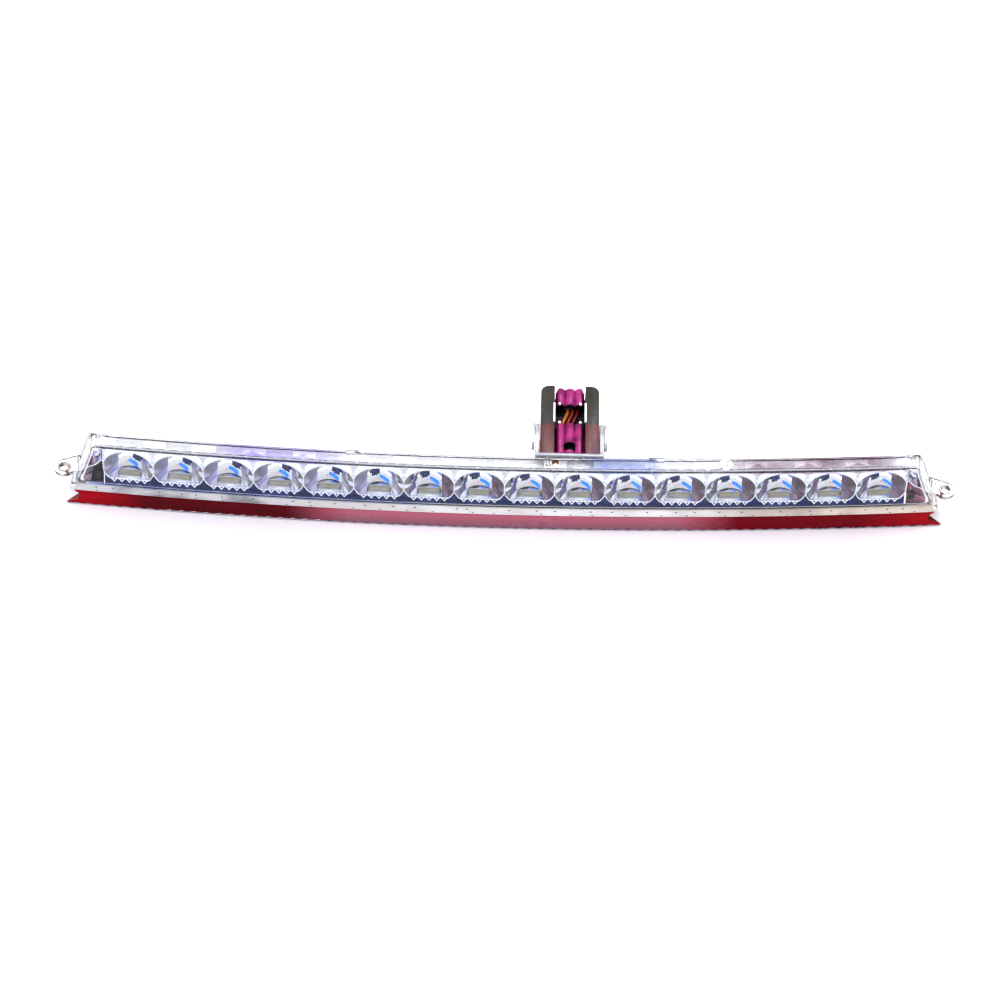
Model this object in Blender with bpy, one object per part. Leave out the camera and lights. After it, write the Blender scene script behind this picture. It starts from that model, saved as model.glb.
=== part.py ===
"""Third brake light: a bowed lamp bar with sixteen reflector cups, a clear cover over a red lens strip, and its plug."""

import math

import bmesh
import bpy
from mathutils import Matrix, Vector

MM = 0.001

# Driving sizes, in metres. The front of the lamp faces -Y, and its length runs along X.
GAP = 0.3 * MM  # clearance between pieces that rest on each other
CUP_COUNT = 16
CUP_PITCH = 24.0 * MM
CUP_RADIUS = 12.4 * MM  # mouth of one bowl, a little over half the pitch, so that neighbours meet in a cusp
CUP_DEPTH = 12.5 * MM
CUP_POWER = 0.7  # 0.5 is an ellipsoid, 1 a paraboloid
SHELF_DROP = 8.0 * MM  # flat shelf below the middle of a bowl
BEZEL_BELOW = 4.4 * MM
BEZEL_ABOVE = 0.8 * MM
REFLECTOR_WALL = 1.2 * MM
BOWL_WALL = 0.8 * MM
BOW_RADIUS = 2470.0 * MM  # plan curve of the whole lamp, middle forward
END_RUN = 14.0 * MM  # from the last cup's edge to the end of the cover, at its foot
END_LEAN = 9.0 * MM  # how far the slanted end leans in over the height of the window
CORNER_RADIUS = 5.0 * MM
FACET_DEPTH = 6.0 * MM  # mirror facet that fills each slanted end

RED_HEIGHT = 10.8 * MM
RED_WALL = 2.2 * MM
RED_FLANGE = 1.6 * MM
RED_NOTCH = 1.8 * MM  # the fishtail: how far the front wall stops short of the cover's foot
RED_LIP = 1.2 * MM  # upper horn beyond the cover's foot
RED_WING = 6.0 * MM  # lower wing beyond it
TRIM_HEIGHT = 4.2 * MM
TRIM_PROUD = 0.3 * MM
TRIM_CHAMFER = 0.8 * MM
TRIM_END = 0.8 * MM

COVER_SETBACK = 0.8 * MM
COVER_WALL = 2.0 * MM
LEDGE_DEPTH = 8.3 * MM
TAB_SIZE = (7.4 * MM, 1.8 * MM, 1.9 * MM)  # snap tabs that stand on the ledge
TAB_SPREAD = 72.0 * MM
RIB_SIZE = (1.0 * MM, 5.0 * MM, 0.9 * MM)

HOUSING_WALL = 1.8 * MM
BOWL_ROOM = 0.4 * MM  # air behind the bowls
HOUSING_STEP = 0.3 * MM  # the housing's top edge below the ledge's

EAR_REACH = 7.0 * MM  # hole centre beyond the cover's foot
EAR_DEPTH = 10.5 * MM
EAR_RADIUS = 4.8 * MM
EAR_LEVEL = 12.6 * MM
EAR_THICKNESS = 2.2 * MM
EAR_ROOT_BACK = 18.4 * MM
BUSH_RADIUS = 3.1 * MM
BUSH_BORE = 2.2 * MM
BUSH_PROUD = 0.4 * MM

BOARD_THICKNESS = 1.6 * MM
BOARD_END = 5.0 * MM  # board beyond the outer cups' edges
LED_SIZE = (10.8 * MM, 3.4 * MM, 1.1 * MM)
LED_DOME = 0.4 * MM
LED_ROOM = 0.35 * MM
LED_SETBACK = 2.2 * MM  # front edge of an LED opening behind the mouths
POST_RADIUS = 2.6 * MM
POST_DEPTH = 13.4 * MM
POST_EVERY = 6  # in cup pitches
SCREW_SHANK = 0.95 * MM
SCREW_LENGTH = 7.0 * MM
SCREW_HEAD = (2.1 * MM, 1.4 * MM)
RESISTOR_SIZE = (6.3 * MM, 3.2 * MM, 0.9 * MM)
DIODE_SIZE = (4.4 * MM, 2.6 * MM, 2.2 * MM)
RIBBON_SIZE = (3.2 * MM, 0.5 * MM)
VENT_RADIUS = 3.4 * MM
VENT_THICKNESS = 0.5 * MM
VENT_X = 104.8 * MM
VENT_DEPTH = 5.2 * MM

PLUG_X = 30.5 * MM
PLUG_WIDTH = 28.0 * MM
PLUG_LENGTH = 42.6 * MM
PLUG_HEIGHT = 13.6 * MM
PLUG_CORNER = 4.0 * MM
PLUG_ROOM = 0.35 * MM
CHANNEL_WIDTH = 14.8 * MM
CHANNEL_FLOOR = 3.5 * MM
INSERT_LENGTH = 19.0 * MM
LOCK_LENGTH = 10.4 * MM
INSERT_SINK = 0.4 * MM
INSERT_RIB = 0.7 * MM
WINDOW_LENGTH = 11.6 * MM
SEAL_HEIGHT = 3.0 * MM
LATCH_WINDOW = (5.4 * MM, 4.6 * MM, 1.8 * MM)
LATCH_WINDOW_WALL = 0.7 * MM
CRADLE_WALL = 2.0 * MM
CRADLE_PLATE = 1.6 * MM
CRADLE_LENGTH = 19.6 * MM
CRADLE_BAR = 1.4 * MM
PIN_SIZE = (1.6 * MM, 10.0 * MM, 1.2 * MM)
PIN_PITCH = 4.0 * MM
PIN_DROP = 6.0 * MM
PIN_ROOM = 0.5 * MM
LEAD_DIAMETER = 1.7 * MM
LEAD_PITCH = 2.4 * MM
LEAD_DRIFT = 2.9 * MM
LEAD_HOLD = 3.0 * MM
LEAD_DROP = 5.2 * MM
LATCH_SIZE = (1.4 * MM, 12.0 * MM, 6.0 * MM)
LATCH_HOOK = 2.4 * MM
LATCH_DROP = 4.6 * MM
LOCK_TRAVEL = 3.0 * MM

# Levels, from the base up.
TRIM_BOTTOM = RED_HEIGHT + GAP
TRIM_TOP = TRIM_BOTTOM + TRIM_HEIGHT
PANEL_BOTTOM = TRIM_TOP + GAP
SHELF_LEVEL = PANEL_BOTTOM + BEZEL_BELOW
CUP_LEVEL = SHELF_LEVEL + SHELF_DROP
PANEL_TOP = CUP_LEVEL + CUP_RADIUS + BEZEL_ABOVE
LEDGE_TOP = PANEL_TOP + GAP + COVER_WALL
BOARD_TOP = SHELF_LEVEL - REFLECTOR_WALL - GAP
BOARD_BOTTOM = BOARD_TOP - BOARD_THICKNESS

# Depths, from the front of the red lens back, before the bow is added.
MIRROR_FRONT = COVER_SETBACK + COVER_WALL + GAP
LEDGE_BACK = COVER_SETBACK + LEDGE_DEPTH
HOUSING_FRONT = LEDGE_BACK + GAP
BOARD_FRONT = MIRROR_FRONT + REFLECTOR_WALL + GAP
LED_MIDDLE = MIRROR_FRONT + LED_SETBACK + LED_ROOM + LED_SIZE[1] / 2
BOWL_BACK_RADIUS = CUP_RADIUS + BOWL_WALL
BOWL_BACK_DEPTH = CUP_DEPTH + 1.25 * BOWL_WALL
CAVITY_BACK = MIRROR_FRONT + BOWL_BACK_DEPTH + BOWL_ROOM
HOUSING_BACK = CAVITY_BACK + HOUSING_WALL

HALF_ROW = CUP_COUNT * CUP_PITCH / 2
END_FOOT = HALF_ROW + END_RUN
LEAN = END_LEAN / (LEDGE_TOP - PANEL_BOTTOM)
STATIONS = 17
ARC_LEVELS = 4


def bow(x):
    return BOW_RADIUS - math.sqrt(BOW_RADIUS**2 - x**2)


def bowl(radius_squared, radius, depth):
    return depth * max(0.0, 1 - radius_squared / radius**2) ** CUP_POWER


def bowl_half_height(across, radius):
    return math.sqrt(max(0.0, radius**2 - across**2))


# The housing's sloping roof starts behind the ledge and runs down past the backs of the bowls. Its run for each
# metre of drop is the least that clears them.
ROOF_TOP = LEDGE_TOP - HOUSING_STEP


def roof_run():
    inner = HOUSING_FRONT - 1.33 * HOUSING_WALL
    runs = []
    for step in range(1, 40):
        up = BOWL_BACK_RADIUS * step / 40
        back = MIRROR_FRONT + bowl(up**2, BOWL_BACK_RADIUS, BOWL_BACK_DEPTH) + BOWL_ROOM
        runs.append((back - inner) / (ROOF_TOP - CUP_LEVEL - up))
    return max(runs)


ROOF_RUN = roof_run()
ROOF_SHIFT = HOUSING_WALL * math.sqrt(1 + ROOF_RUN**2)


def roof_y(z):
    return HOUSING_FRONT + (ROOF_TOP - z) * ROOF_RUN


PLUG_TOP = LEDGE_TOP + 0.1 * MM
PLUG_BOTTOM = PLUG_TOP - PLUG_HEIGHT
PLATE_FRONT = GAP + 0.1 * MM
PLATE_BACK = PLATE_FRONT + CRADLE_PLATE
PLUG_SET = PLATE_BACK + GAP + (PLUG_TOP - ROOF_TOP) * ROOF_RUN
PLUG_FRONT = roof_y(PLUG_TOP) + PLUG_SET
PLUG_BACK = PLUG_FRONT + PLUG_LENGTH
LOCK_BACK = PLUG_BACK - 1.0 * MM
LOCK_FRONT = LOCK_BACK - LOCK_LENGTH
INSERT_BACK = LOCK_FRONT - WINDOW_LENGTH
INSERT_TOP = PLUG_TOP - INSERT_SINK
INSERT_BOTTOM = PLUG_BOTTOM + CHANNEL_FLOOR + GAP
INSERT_WIDTH = CHANNEL_WIDTH - 2 * GAP
LEAD_LEVEL = INSERT_TOP - LEAD_DROP
PIN_LEVEL = INSERT_TOP - PIN_DROP
CRADLE_INNER = PLUG_WIDTH / 2 + PLUG_ROOM
CRADLE_OUTER = CRADLE_INNER + CRADLE_WALL
CRADLE_BACK = PLUG_FRONT + CRADLE_LENGTH
LATCH_LEVEL = PLUG_TOP - LATCH_DROP - LATCH_SIZE[2] / 2

# The origin is under the middle of the whole lamp's box.
Y_MIDDLE = (PLUG_BACK + bow(PLUG_X) - TRIM_PROUD) / 2
EAR_X = END_FOOT + EAR_REACH


def place(x, y, z):
    """A point of the straight section at x, moved onto the bowed lamp."""
    return Vector((x, y + bow(x) - Y_MIDDLE, z))


def beside(x, y, z, at):
    """A point that shares the bow's shift at one place, so round and square pieces keep their shape."""
    return Vector((x, y + bow(at) - Y_MIDDLE, z))


def end_x(z, inset=0.0):
    """Where the slanted, round-cornered end outline is at height z, drawn in by inset."""
    across = math.sqrt(1 + LEAN**2)
    line = END_FOOT - (z - PANEL_BOTTOM) * LEAN - inset * across
    centre_z = LEDGE_TOP - CORNER_RADIUS
    centre_x = END_FOOT - (centre_z - PANEL_BOTTOM) * LEAN - CORNER_RADIUS * across
    radius = CORNER_RADIUS - inset
    up = z - centre_z
    if up <= radius * LEAN / across:
        return line
    return centre_x + math.sqrt(max(0.0, radius**2 - up**2))


# Materials


def material(name, colour, roughness, metallic=0.0, transmission=0.0):
    made = bpy.data.materials.new(name)
    made.use_nodes = True
    shader = made.node_tree.nodes["Principled BSDF"]
    shader.inputs["Base Color"].default_value = (*colour, 1.0)
    shader.inputs["Roughness"].default_value = roughness
    shader.inputs["Metallic"].default_value = metallic
    shader.inputs["Transmission Weight"].default_value = transmission
    return made


# Objects and meshes


def add(name, mesh, look, location=(0, 0, 0), turn=0.0, parent=None):
    thing = bpy.data.objects.new(name, mesh)
    bpy.context.scene.collection.objects.link(thing)
    thing.location = location
    thing.rotation_euler = (0, 0, turn)
    if look is not None:
        mesh.materials.append(look)
    if parent is not None:
        thing.parent = parent
        thing.location = Vector(location) - parent.location
    return thing


def helper(name, mesh):
    thing = add(name, mesh, None)
    thing.hide_render = True
    thing.display_type = "WIRE"
    return thing


def boolean(thing, other, operation):
    change = thing.modifiers.new(other.name, "BOOLEAN")
    change.operation = operation
    change.solver = "EXACT"
    change.object = other


def finished(bm, name):
    bmesh.ops.remove_doubles(bm, verts=bm.verts, dist=1e-7)
    bmesh.ops.dissolve_degenerate(bm, edges=bm.edges, dist=1e-8)
    bmesh.ops.recalc_face_normals(bm, faces=bm.faces)
    mesh = bpy.data.meshes.new(name)
    bm.to_mesh(mesh)
    bm.free()
    return mesh


def grid_faces(bm, rows):
    for one, two in zip(rows, rows[1:]):
        for k in range(len(one) - 1):
            bm.faces.new((one[k], one[k + 1], two[k + 1], two[k]))


def with_levels(outline, levels):
    """The closed (y, z) outline, with a point added wherever an edge crosses one of the levels."""
    full = []
    for (y0, z0), (y1, z1) in zip(outline, outline[1:] + outline[:1]):
        full.append((y0, z0))
        inside = [z for z in levels if min(z0, z1) + 1e-6 < z < max(z0, z1) - 1e-6]
        for z in sorted(inside, reverse=z1 < z0):
            full.append((y0 + (y1 - y0) * (z - z0) / (z1 - z0), z))
    return full


def corner_levels(inset=0.0):
    radius = CORNER_RADIUS - inset
    centre = LEDGE_TOP - CORNER_RADIUS
    first = math.atan(LEAN)
    return [
        centre + radius * math.sin(first + (math.pi / 2 - first) * k / ARC_LEVELS)
        for k in range(ARC_LEVELS)
    ]


def swept(name, outline, ends, stations=STATIONS):
    """A bowed bar: the (y, z) outline carried along X, each of its points ending at its own +-x."""
    bm = bmesh.new()
    rings = []
    for k in range(stations):
        t = 2 * k / (stations - 1) - 1
        rings.append([bm.verts.new(place(t * e, y, z)) for (y, z), e in zip(outline, ends)])
    closed = [ring + ring[:1] for ring in rings]
    grid_faces(bm, closed)
    bm.faces.new(rings[0])
    bm.faces.new(rings[-1])
    bmesh.ops.triangulate(bm, faces=[f for f in bm.faces if len(f.verts) > 4])
    return finished(bm, name)


def prism(name, outline, low, high, at, axis="z"):
    """A straight prism: the outline in (x, y) extruded in z, or in (y, z) extruded in x."""
    bm = bmesh.new()
    rings = []
    for level in (low, high):
        if axis == "z":
            ring = [beside(u, v, level, at) for u, v in outline]
        else:
            ring = [beside(level, u, v, at) for u, v in outline]
        rings.append([bm.verts.new(point) for point in ring])
    count = len(outline)
    for k in range(count):
        n = (k + 1) % count
        bm.faces.new((rings[0][k], rings[0][n], rings[1][n], rings[1][k]))
    bm.faces.new(rings[0])
    bm.faces.new(rings[1])
    return finished(bm, name)


def block(low, high, at, bm=None, turn=0.0):
    """Adds a box between two corners of the straight section, turned about its own middle."""
    own = bm if bm is not None else bmesh.new()
    middle = beside((low[0] + high[0]) / 2, (low[1] + high[1]) / 2, 0, at)
    swing = Matrix.Rotation(turn, 3, "Z")
    corners = [
        own.verts.new(middle + swing @ (beside(x, y, z, at) - middle))
        for z in (low[2], high[2])
        for y in (low[1], high[1])
        for x in (low[0], high[0])
    ]
    for a, b, c, d in ((0, 2, 3, 1), (4, 5, 7, 6), (0, 1, 5, 4), (1, 3, 7, 5), (3, 2, 6, 7), (2, 0, 4, 6)):
        own.faces.new([corners[k] for k in (a, b, c, d)])
    return own


def turned(name, profile, sides=20):
    """A solid turned about Z from an (r, z) profile. A profile off the axis closes on itself as a ring."""
    bm = bmesh.new()
    rings = []
    for r, z in profile:
        if r < 1e-9:
            rings.append([bm.verts.new((0, 0, z))] * sides)
        else:
            angles = (2 * math.pi * k / sides for k in range(sides))
            rings.append([bm.verts.new((r * math.cos(a), r * math.sin(a), z)) for a in angles])
    open_ended = profile[0][0] < 1e-9
    pairs = list(zip(rings, rings[1:])) + ([] if open_ended else [(rings[-1], rings[0])])
    for one, two in pairs:
        for k in range(sides):
            n = (k + 1) % sides
            corner = []
            for vert in (one[k], one[n], two[n], two[k]):
                if vert not in corner:
                    corner.append(vert)
            bm.faces.new(corner)
    return finished(bm, name)


def hull(points):
    """The convex outline round some (x, y) points."""
    ordered = sorted(set(points))

    def chain(run):
        kept = []
        for p in run:
            while len(kept) > 1:
                (ax, ay), (bx, by) = kept[-2:]
                if (bx - ax) * (p[1] - ay) - (by - ay) * (p[0] - ax) > 1e-12:
                    break
                kept.pop()
            kept.append(p)
        return kept[:-1]

    return chain(ordered) + chain(ordered[::-1])


def circle(x, y, radius, sides=24):
    angles = (2 * math.pi * k / sides for k in range(sides))
    return [(x + radius * math.cos(a), y + radius * math.sin(a)) for a in angles]


# Lamp body


def make_housing(look):
    """A trough behind the bowls, open at the front, with an ear at each end."""
    levels = corner_levels()
    foot = ROOF_TOP - (HOUSING_BACK - HOUSING_FRONT) / ROOF_RUN
    outer = [(HOUSING_FRONT, 0), (HOUSING_FRONT, ROOF_TOP), (HOUSING_BACK, foot), (HOUSING_BACK, 0)]
    outline = with_levels(outer, levels)
    housing = add("rear_housing", swept("rear_housing", outline, [end_x(z) for y, z in outline]), look)

    for side in (-1, 1):
        x = side * EAR_X
        root = side * (end_x(EAR_LEVEL) - 0.9 * MM)
        corners = [(root, HOUSING_FRONT + GAP), (root, EAR_ROOT_BACK)]
        outline = hull(corners + circle(x, EAR_DEPTH, EAR_RADIUS))
        ear = prism("ear", outline, EAR_LEVEL, EAR_LEVEL + EAR_THICKNESS, x)
        boolean(housing, helper(f"join_ear_{side}", ear), "UNION")
        bore = circle(x, EAR_DEPTH, BUSH_RADIUS + GAP)
        cut = prism("bore", bore, EAR_LEVEL - 2 * MM, EAR_LEVEL + EAR_THICKNESS + 2 * MM, x)
        boolean(housing, helper(f"cut_ear_{side}", cut), "DIFFERENCE")

    ahead = HOUSING_FRONT - 4 * MM
    top = ROOF_TOP - (ahead - HOUSING_FRONT + ROOF_SHIFT) / ROOF_RUN
    turn = ROOF_TOP - (CAVITY_BACK - HOUSING_FRONT + ROOF_SHIFT) / ROOF_RUN
    inner = [(ahead, HOUSING_WALL), (ahead, top), (CAVITY_BACK, turn), (CAVITY_BACK, HOUSING_WALL)]
    outline = with_levels(inner, corner_levels(HOUSING_WALL))
    ends = [end_x(min(z, LEDGE_TOP - HOUSING_WALL), HOUSING_WALL) for y, z in outline]
    boolean(housing, helper("cut_cavity", swept("cut_cavity", outline, ends, STATIONS - 1)), "DIFFERENCE")

    for k, x in enumerate(post_places()):
        post = prism("post", circle(x, POST_DEPTH, POST_RADIUS, 16), HOUSING_WALL / 2, BOARD_BOTTOM - GAP, x)
        boolean(housing, helper(f"join_post_{k}", post), "UNION")
        low = BOARD_TOP + GAP - SCREW_LENGTH - 1 * MM
        hole = prism("hole", circle(x, POST_DEPTH, SCREW_SHANK + GAP, 12), low, BOARD_TOP, x)
        boolean(housing, helper(f"cut_post_{k}", hole), "DIFFERENCE")

    slot_level = ribbon_level()
    x = ribbon_x()
    half = RIBBON_SIZE[0] / 2 + 2 * GAP
    low = (x - half, POST_DEPTH - 0.5 * MM, slot_level - 2 * GAP)
    high = (x + half, HOUSING_BACK + 2 * MM, slot_level + RIBBON_SIZE[1] + 2 * GAP)
    boolean(housing, helper("cut_slot", finished(block(low, high, x), "cut_slot")), "DIFFERENCE")
    return housing


def post_places():
    step = POST_EVERY * CUP_PITCH
    return (-step, 0.0, step)


def make_cover(look):
    """The clear tray: window, ledge and slanted ends, with two snap tabs and three ribs on the ledge."""
    box = [
        (COVER_SETBACK, PANEL_BOTTOM),
        (COVER_SETBACK, LEDGE_TOP),
        (LEDGE_BACK, LEDGE_TOP),
        (LEDGE_BACK, PANEL_BOTTOM),
    ]
    outline = with_levels(box, corner_levels())
    cover = add("front_cover", swept("front_cover", outline, [end_x(z) for y, z in outline]), look)
    back, low, top = LEDGE_BACK + 4 * MM, PANEL_BOTTOM - 4 * MM, LEDGE_TOP - COVER_WALL
    front = COVER_SETBACK + COVER_WALL
    outline = with_levels([(front, low), (front, top), (back, top), (back, low)], corner_levels(COVER_WALL))
    ends = [end_x(z, COVER_WALL) for y, z in outline]
    boolean(cover, helper("cut_cover", swept("cut_cover", outline, ends, STATIONS - 1)), "DIFFERENCE")

    raised = []
    for x in (-TAB_SPREAD, TAB_SPREAD):
        raised.append((x, LEDGE_BACK - 0.5 * MM - TAB_SIZE[1], TAB_SIZE))
    for along in (-0.38, -0.33, 0.19):
        raised.append((PLUG_X + along * PLUG_WIDTH, COVER_SETBACK + 2.4 * MM, RIB_SIZE))
    for k, (x, y, size) in enumerate(raised):
        low = (x - size[0] / 2, y, LEDGE_TOP - COVER_WALL / 2)
        high = (x + size[0] / 2, y + size[1], LEDGE_TOP + size[2])
        boolean(cover, helper(f"join_raised_{k}", finished(block(low, high, x), "raised")), "UNION")
    return cover


def make_red_lens(look):
    """A channel open to the back, its ends cut to a fishtail: a long lower wing and a short upper horn."""
    foot = END_FOOT
    notch, horn, wing = foot - RED_NOTCH, foot + RED_LIP, foot + RED_WING
    outline = [
        (0, 0, wing),
        (0, RED_HEIGHT * 0.55, notch),
        (0, RED_HEIGHT, horn),
        (LEDGE_BACK - 1 * MM, RED_HEIGHT, notch),
        (LEDGE_BACK - 1 * MM, RED_HEIGHT - RED_FLANGE, notch - 0.4 * MM),
        (RED_WALL, RED_HEIGHT - RED_FLANGE, notch - 0.4 * MM),
        (RED_WALL, RED_FLANGE, notch - 0.4 * MM),
        (LEDGE_BACK, RED_FLANGE, notch - 0.4 * MM),
        (LEDGE_BACK, 0, notch),
    ]
    mesh = swept("red_lens", [(y, z) for y, z, e in outline], [e for y, z, e in outline])
    return add("red_lens", mesh, look)


def make_trim(look):
    back = LEDGE_BACK - 1 * MM
    outline = [
        (-TRIM_PROUD, TRIM_BOTTOM),
        (-TRIM_PROUD, TRIM_TOP - TRIM_CHAMFER),
        (TRIM_CHAMFER - TRIM_PROUD, TRIM_TOP),
        (back, TRIM_TOP),
        (back, TRIM_BOTTOM),
    ]
    return add("trim_strip", swept("trim_strip", outline, [END_FOOT + TRIM_END] * len(outline)), look)


COLUMNS = (-1.0, -0.74, -0.48, -0.24, 0.0, 0.24, 0.48, 0.74)
ROWS = (0.0, 0.22, 0.46, 0.7, 0.9, 1.0)
END_COLUMNS = ((0.1, 0.0), (0.22, 1.0), (0.9, 0.05), (1.0, 0.0))


def mirror_column(across, radius, depth, drop, plane):
    """(y, z) up one column of the mirror, at a distance across from a bowl's middle."""
    half = bowl_half_height(across, radius)
    low = -min(drop, half)
    points = [(plane, PANEL_BOTTOM), (plane, CUP_LEVEL + low)]
    for part in ROWS:
        up = low + (half - low) * part
        sunk = 0.0 if part == 1.0 else bowl(across**2 + up**2, radius, depth)
        points.append((max(plane, MIRROR_FRONT + sunk), CUP_LEVEL + up))
    points.append((plane, PANEL_TOP))
    return points


def mirror_end_column(part, sunk, plane):
    """(x, y, z) up a column of the slanted end, where a flat facet sinks behind the plane."""
    bottom, top = SHELF_LEVEL - (plane - MIRROR_FRONT), PANEL_TOP - 2.5 * BEZEL_ABOVE
    levels = [PANEL_BOTTOM, bottom] + [bottom + (top - bottom) * row for row in ROWS] + [PANEL_TOP]
    points = []
    for k, z in enumerate(levels):
        inside = 2 <= k <= len(levels) - 3
        x = HALF_ROW + part * (end_x(z, COVER_WALL + GAP) - HALF_ROW)
        points.append((x, plane + (FACET_DEPTH * sunk if inside else 0.0), z))
    return points


def mirror_face(bm, radius, depth, drop, plane):
    rows = []
    for part, deep in reversed(END_COLUMNS):
        rows.append([bm.verts.new(place(-x, y, z)) for x, y, z in mirror_end_column(part, deep, plane)])
    for cup in range(CUP_COUNT):
        middle = (cup - (CUP_COUNT - 1) / 2) * CUP_PITCH
        parts = COLUMNS + ((1.0,) if cup == CUP_COUNT - 1 else ())
        for part in parts:
            across = part * CUP_PITCH / 2
            column = mirror_column(across, radius, depth, drop, plane)
            rows.append([bm.verts.new(place(middle + across, y, z)) for y, z in column])
    for part, deep in END_COLUMNS:
        rows.append([bm.verts.new(place(x, y, z)) for x, y, z in mirror_end_column(part, deep, plane)])
    grid_faces(bm, rows)
    return rows


def make_reflector(look):
    """One moulding of sixteen bowls side by side, each with a flat shelf that its LED shines up through."""
    bm = bmesh.new()
    front = mirror_face(bm, CUP_RADIUS, CUP_DEPTH, SHELF_DROP, MIRROR_FRONT)
    back = mirror_face(
        bm, BOWL_BACK_RADIUS, BOWL_BACK_DEPTH, SHELF_DROP + REFLECTOR_WALL, MIRROR_FRONT + REFLECTOR_WALL
    )
    edge = front[0] + [row[-1] for row in front[1:]] + front[-1][-2::-1] + [row[0] for row in front[-2:0:-1]]
    rear = back[0] + [row[-1] for row in back[1:]] + back[-1][-2::-1] + [row[0] for row in back[-2:0:-1]]
    for k in range(len(edge)):
        n = (k + 1) % len(edge)
        bm.faces.new((edge[k], edge[n], rear[n], rear[k]))
    reflector = add("reflector", finished(bm, "reflector"), look)

    cuts = bmesh.new()
    for x in cup_places():
        half_x = LED_SIZE[0] / 2 + LED_ROOM + 0.05 * MM
        half_y = LED_SIZE[1] / 2 + LED_ROOM
        low = (x - half_x, LED_MIDDLE - half_y, BOARD_TOP)
        block(low, (x + half_x, LED_MIDDLE + half_y, SHELF_LEVEL + 1.0 * MM), x, cuts, bow_turn(x))
    boolean(reflector, helper("cut_led_openings", finished(cuts, "cut_led_openings")), "DIFFERENCE")
    return reflector


def cup_places():
    return [(cup - (CUP_COUNT - 1) / 2) * CUP_PITCH for cup in range(CUP_COUNT)]


def make_bushes(look):
    low, high = EAR_LEVEL - BUSH_PROUD, EAR_LEVEL + EAR_THICKNESS + BUSH_PROUD
    ring = [(BUSH_BORE, low), (BUSH_RADIUS, low), (BUSH_RADIUS, high), (BUSH_BORE, high)]
    mesh = turned("ear_bush", ring, 24)
    mesh.materials.append(look)
    for name, side in (("ear_bush_left", -1), ("ear_bush_right", 1)):
        add(name, mesh, None, beside(side * EAR_X, EAR_DEPTH, 0, EAR_X))


def make_vent(look):
    rim = VENT_THICKNESS / 2
    profile = [(0, 0), (VENT_RADIUS, 0), (VENT_RADIUS, rim), (VENT_RADIUS - rim, 2 * rim), (0, 2 * rim)]
    add("vent_membrane", turned("vent_membrane", profile), look, place(VENT_X, VENT_DEPTH, LEDGE_TOP + GAP))


# Light source


def make_board(look):
    back = CAVITY_BACK - GAP
    outline = [(BOARD_FRONT, BOARD_BOTTOM), (BOARD_FRONT, BOARD_TOP), (back, BOARD_TOP), (back, BOARD_BOTTOM)]
    board = add("led_board", swept("led_board", outline, [HALF_ROW + BOARD_END] * 4), look)
    for k, x in enumerate(post_places()):
        hole = circle(x, POST_DEPTH, SCREW_SHANK + GAP, 12)
        cut = prism("screw_hole", hole, BOARD_BOTTOM - 1 * MM, BOARD_TOP + 1 * MM, x)
        boolean(board, helper(f"cut_board_{k}", cut), "DIFFERENCE")


def bow_turn(x):
    return math.asin(x / BOW_RADIUS)


def make_leds(look):
    """Each package is a box with a low raised window, turned to follow the bow."""
    half_x, half_y = LED_SIZE[0] / 2, LED_SIZE[1] / 2
    height = LED_SIZE[2]
    bm = bmesh.new()
    rings = []
    for shrink, z in ((0.0, 0.0), (0.0, height), (0.5 * MM, height), (0.7 * MM, height + LED_DOME)):
        x, y = half_x - shrink, half_y - shrink
        rings.append([bm.verts.new(p) for p in ((-x, -y, z), (x, -y, z), (x, y, z), (-x, y, z))])
    grid_faces(bm, [ring + ring[:1] for ring in rings])
    bm.faces.new(rings[0])
    bm.faces.new(rings[-1])
    mesh = finished(bm, "led")
    mesh.materials.append(look)
    for k, x in enumerate(cup_places()):
        add(f"led_{k + 1:02d}", mesh, None, place(x, LED_MIDDLE, BOARD_TOP + GAP), bow_turn(x))


def chamfered(name, size, chamfer):
    bm = bmesh.new()
    bmesh.ops.create_cube(bm, size=1.0)
    for vert in bm.verts:
        vert.co = Vector((vert.co.x * size[0], vert.co.y * size[1], (vert.co.z + 0.5) * size[2]))
    bmesh.ops.bevel(bm, geom=bm.edges[:], offset=chamfer, segments=1, affect="EDGES")
    return finished(bm, name)


def make_board_parts(resistor, diode, steel):
    mesh = chamfered("resistor", RESISTOR_SIZE, 0.15 * MM)
    mesh.materials.append(resistor)
    for k, step in enumerate((-4, -2, 2, 4)):
        x = step * CUP_PITCH
        add(f"resistor_{k + 1}", mesh, None, place(x, POST_DEPTH, BOARD_TOP + GAP), bow_turn(x))
    x = -CUP_PITCH
    add("diode", chamfered("diode", DIODE_SIZE, 0.3 * MM), diode, place(x, POST_DEPTH, BOARD_TOP + GAP), bow_turn(x))
    radius, height = SCREW_HEAD
    profile = [
        (0, -SCREW_LENGTH),
        (SCREW_SHANK, -SCREW_LENGTH),
        (SCREW_SHANK, 0),
        (radius, 0),
        (radius, height * 0.6),
        (radius * 0.7, height),
        (0, height),
    ]
    mesh = turned("board_screw", profile, 16)
    mesh.materials.append(steel)
    for k, x in enumerate(post_places()):
        add(f"board_screw_{k + 1}", mesh, None, place(x, POST_DEPTH, BOARD_TOP + GAP))


def ribbon_x():
    return CUP_PITCH


def ribbon_level():
    """The ribbon turns back just under the inside of the roof, at the depth of the posts."""
    return ROOF_TOP - (POST_DEPTH - HOUSING_FRONT + ROOF_SHIFT) / ROOF_RUN - RIBBON_SIZE[1] - 2 * GAP


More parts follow.
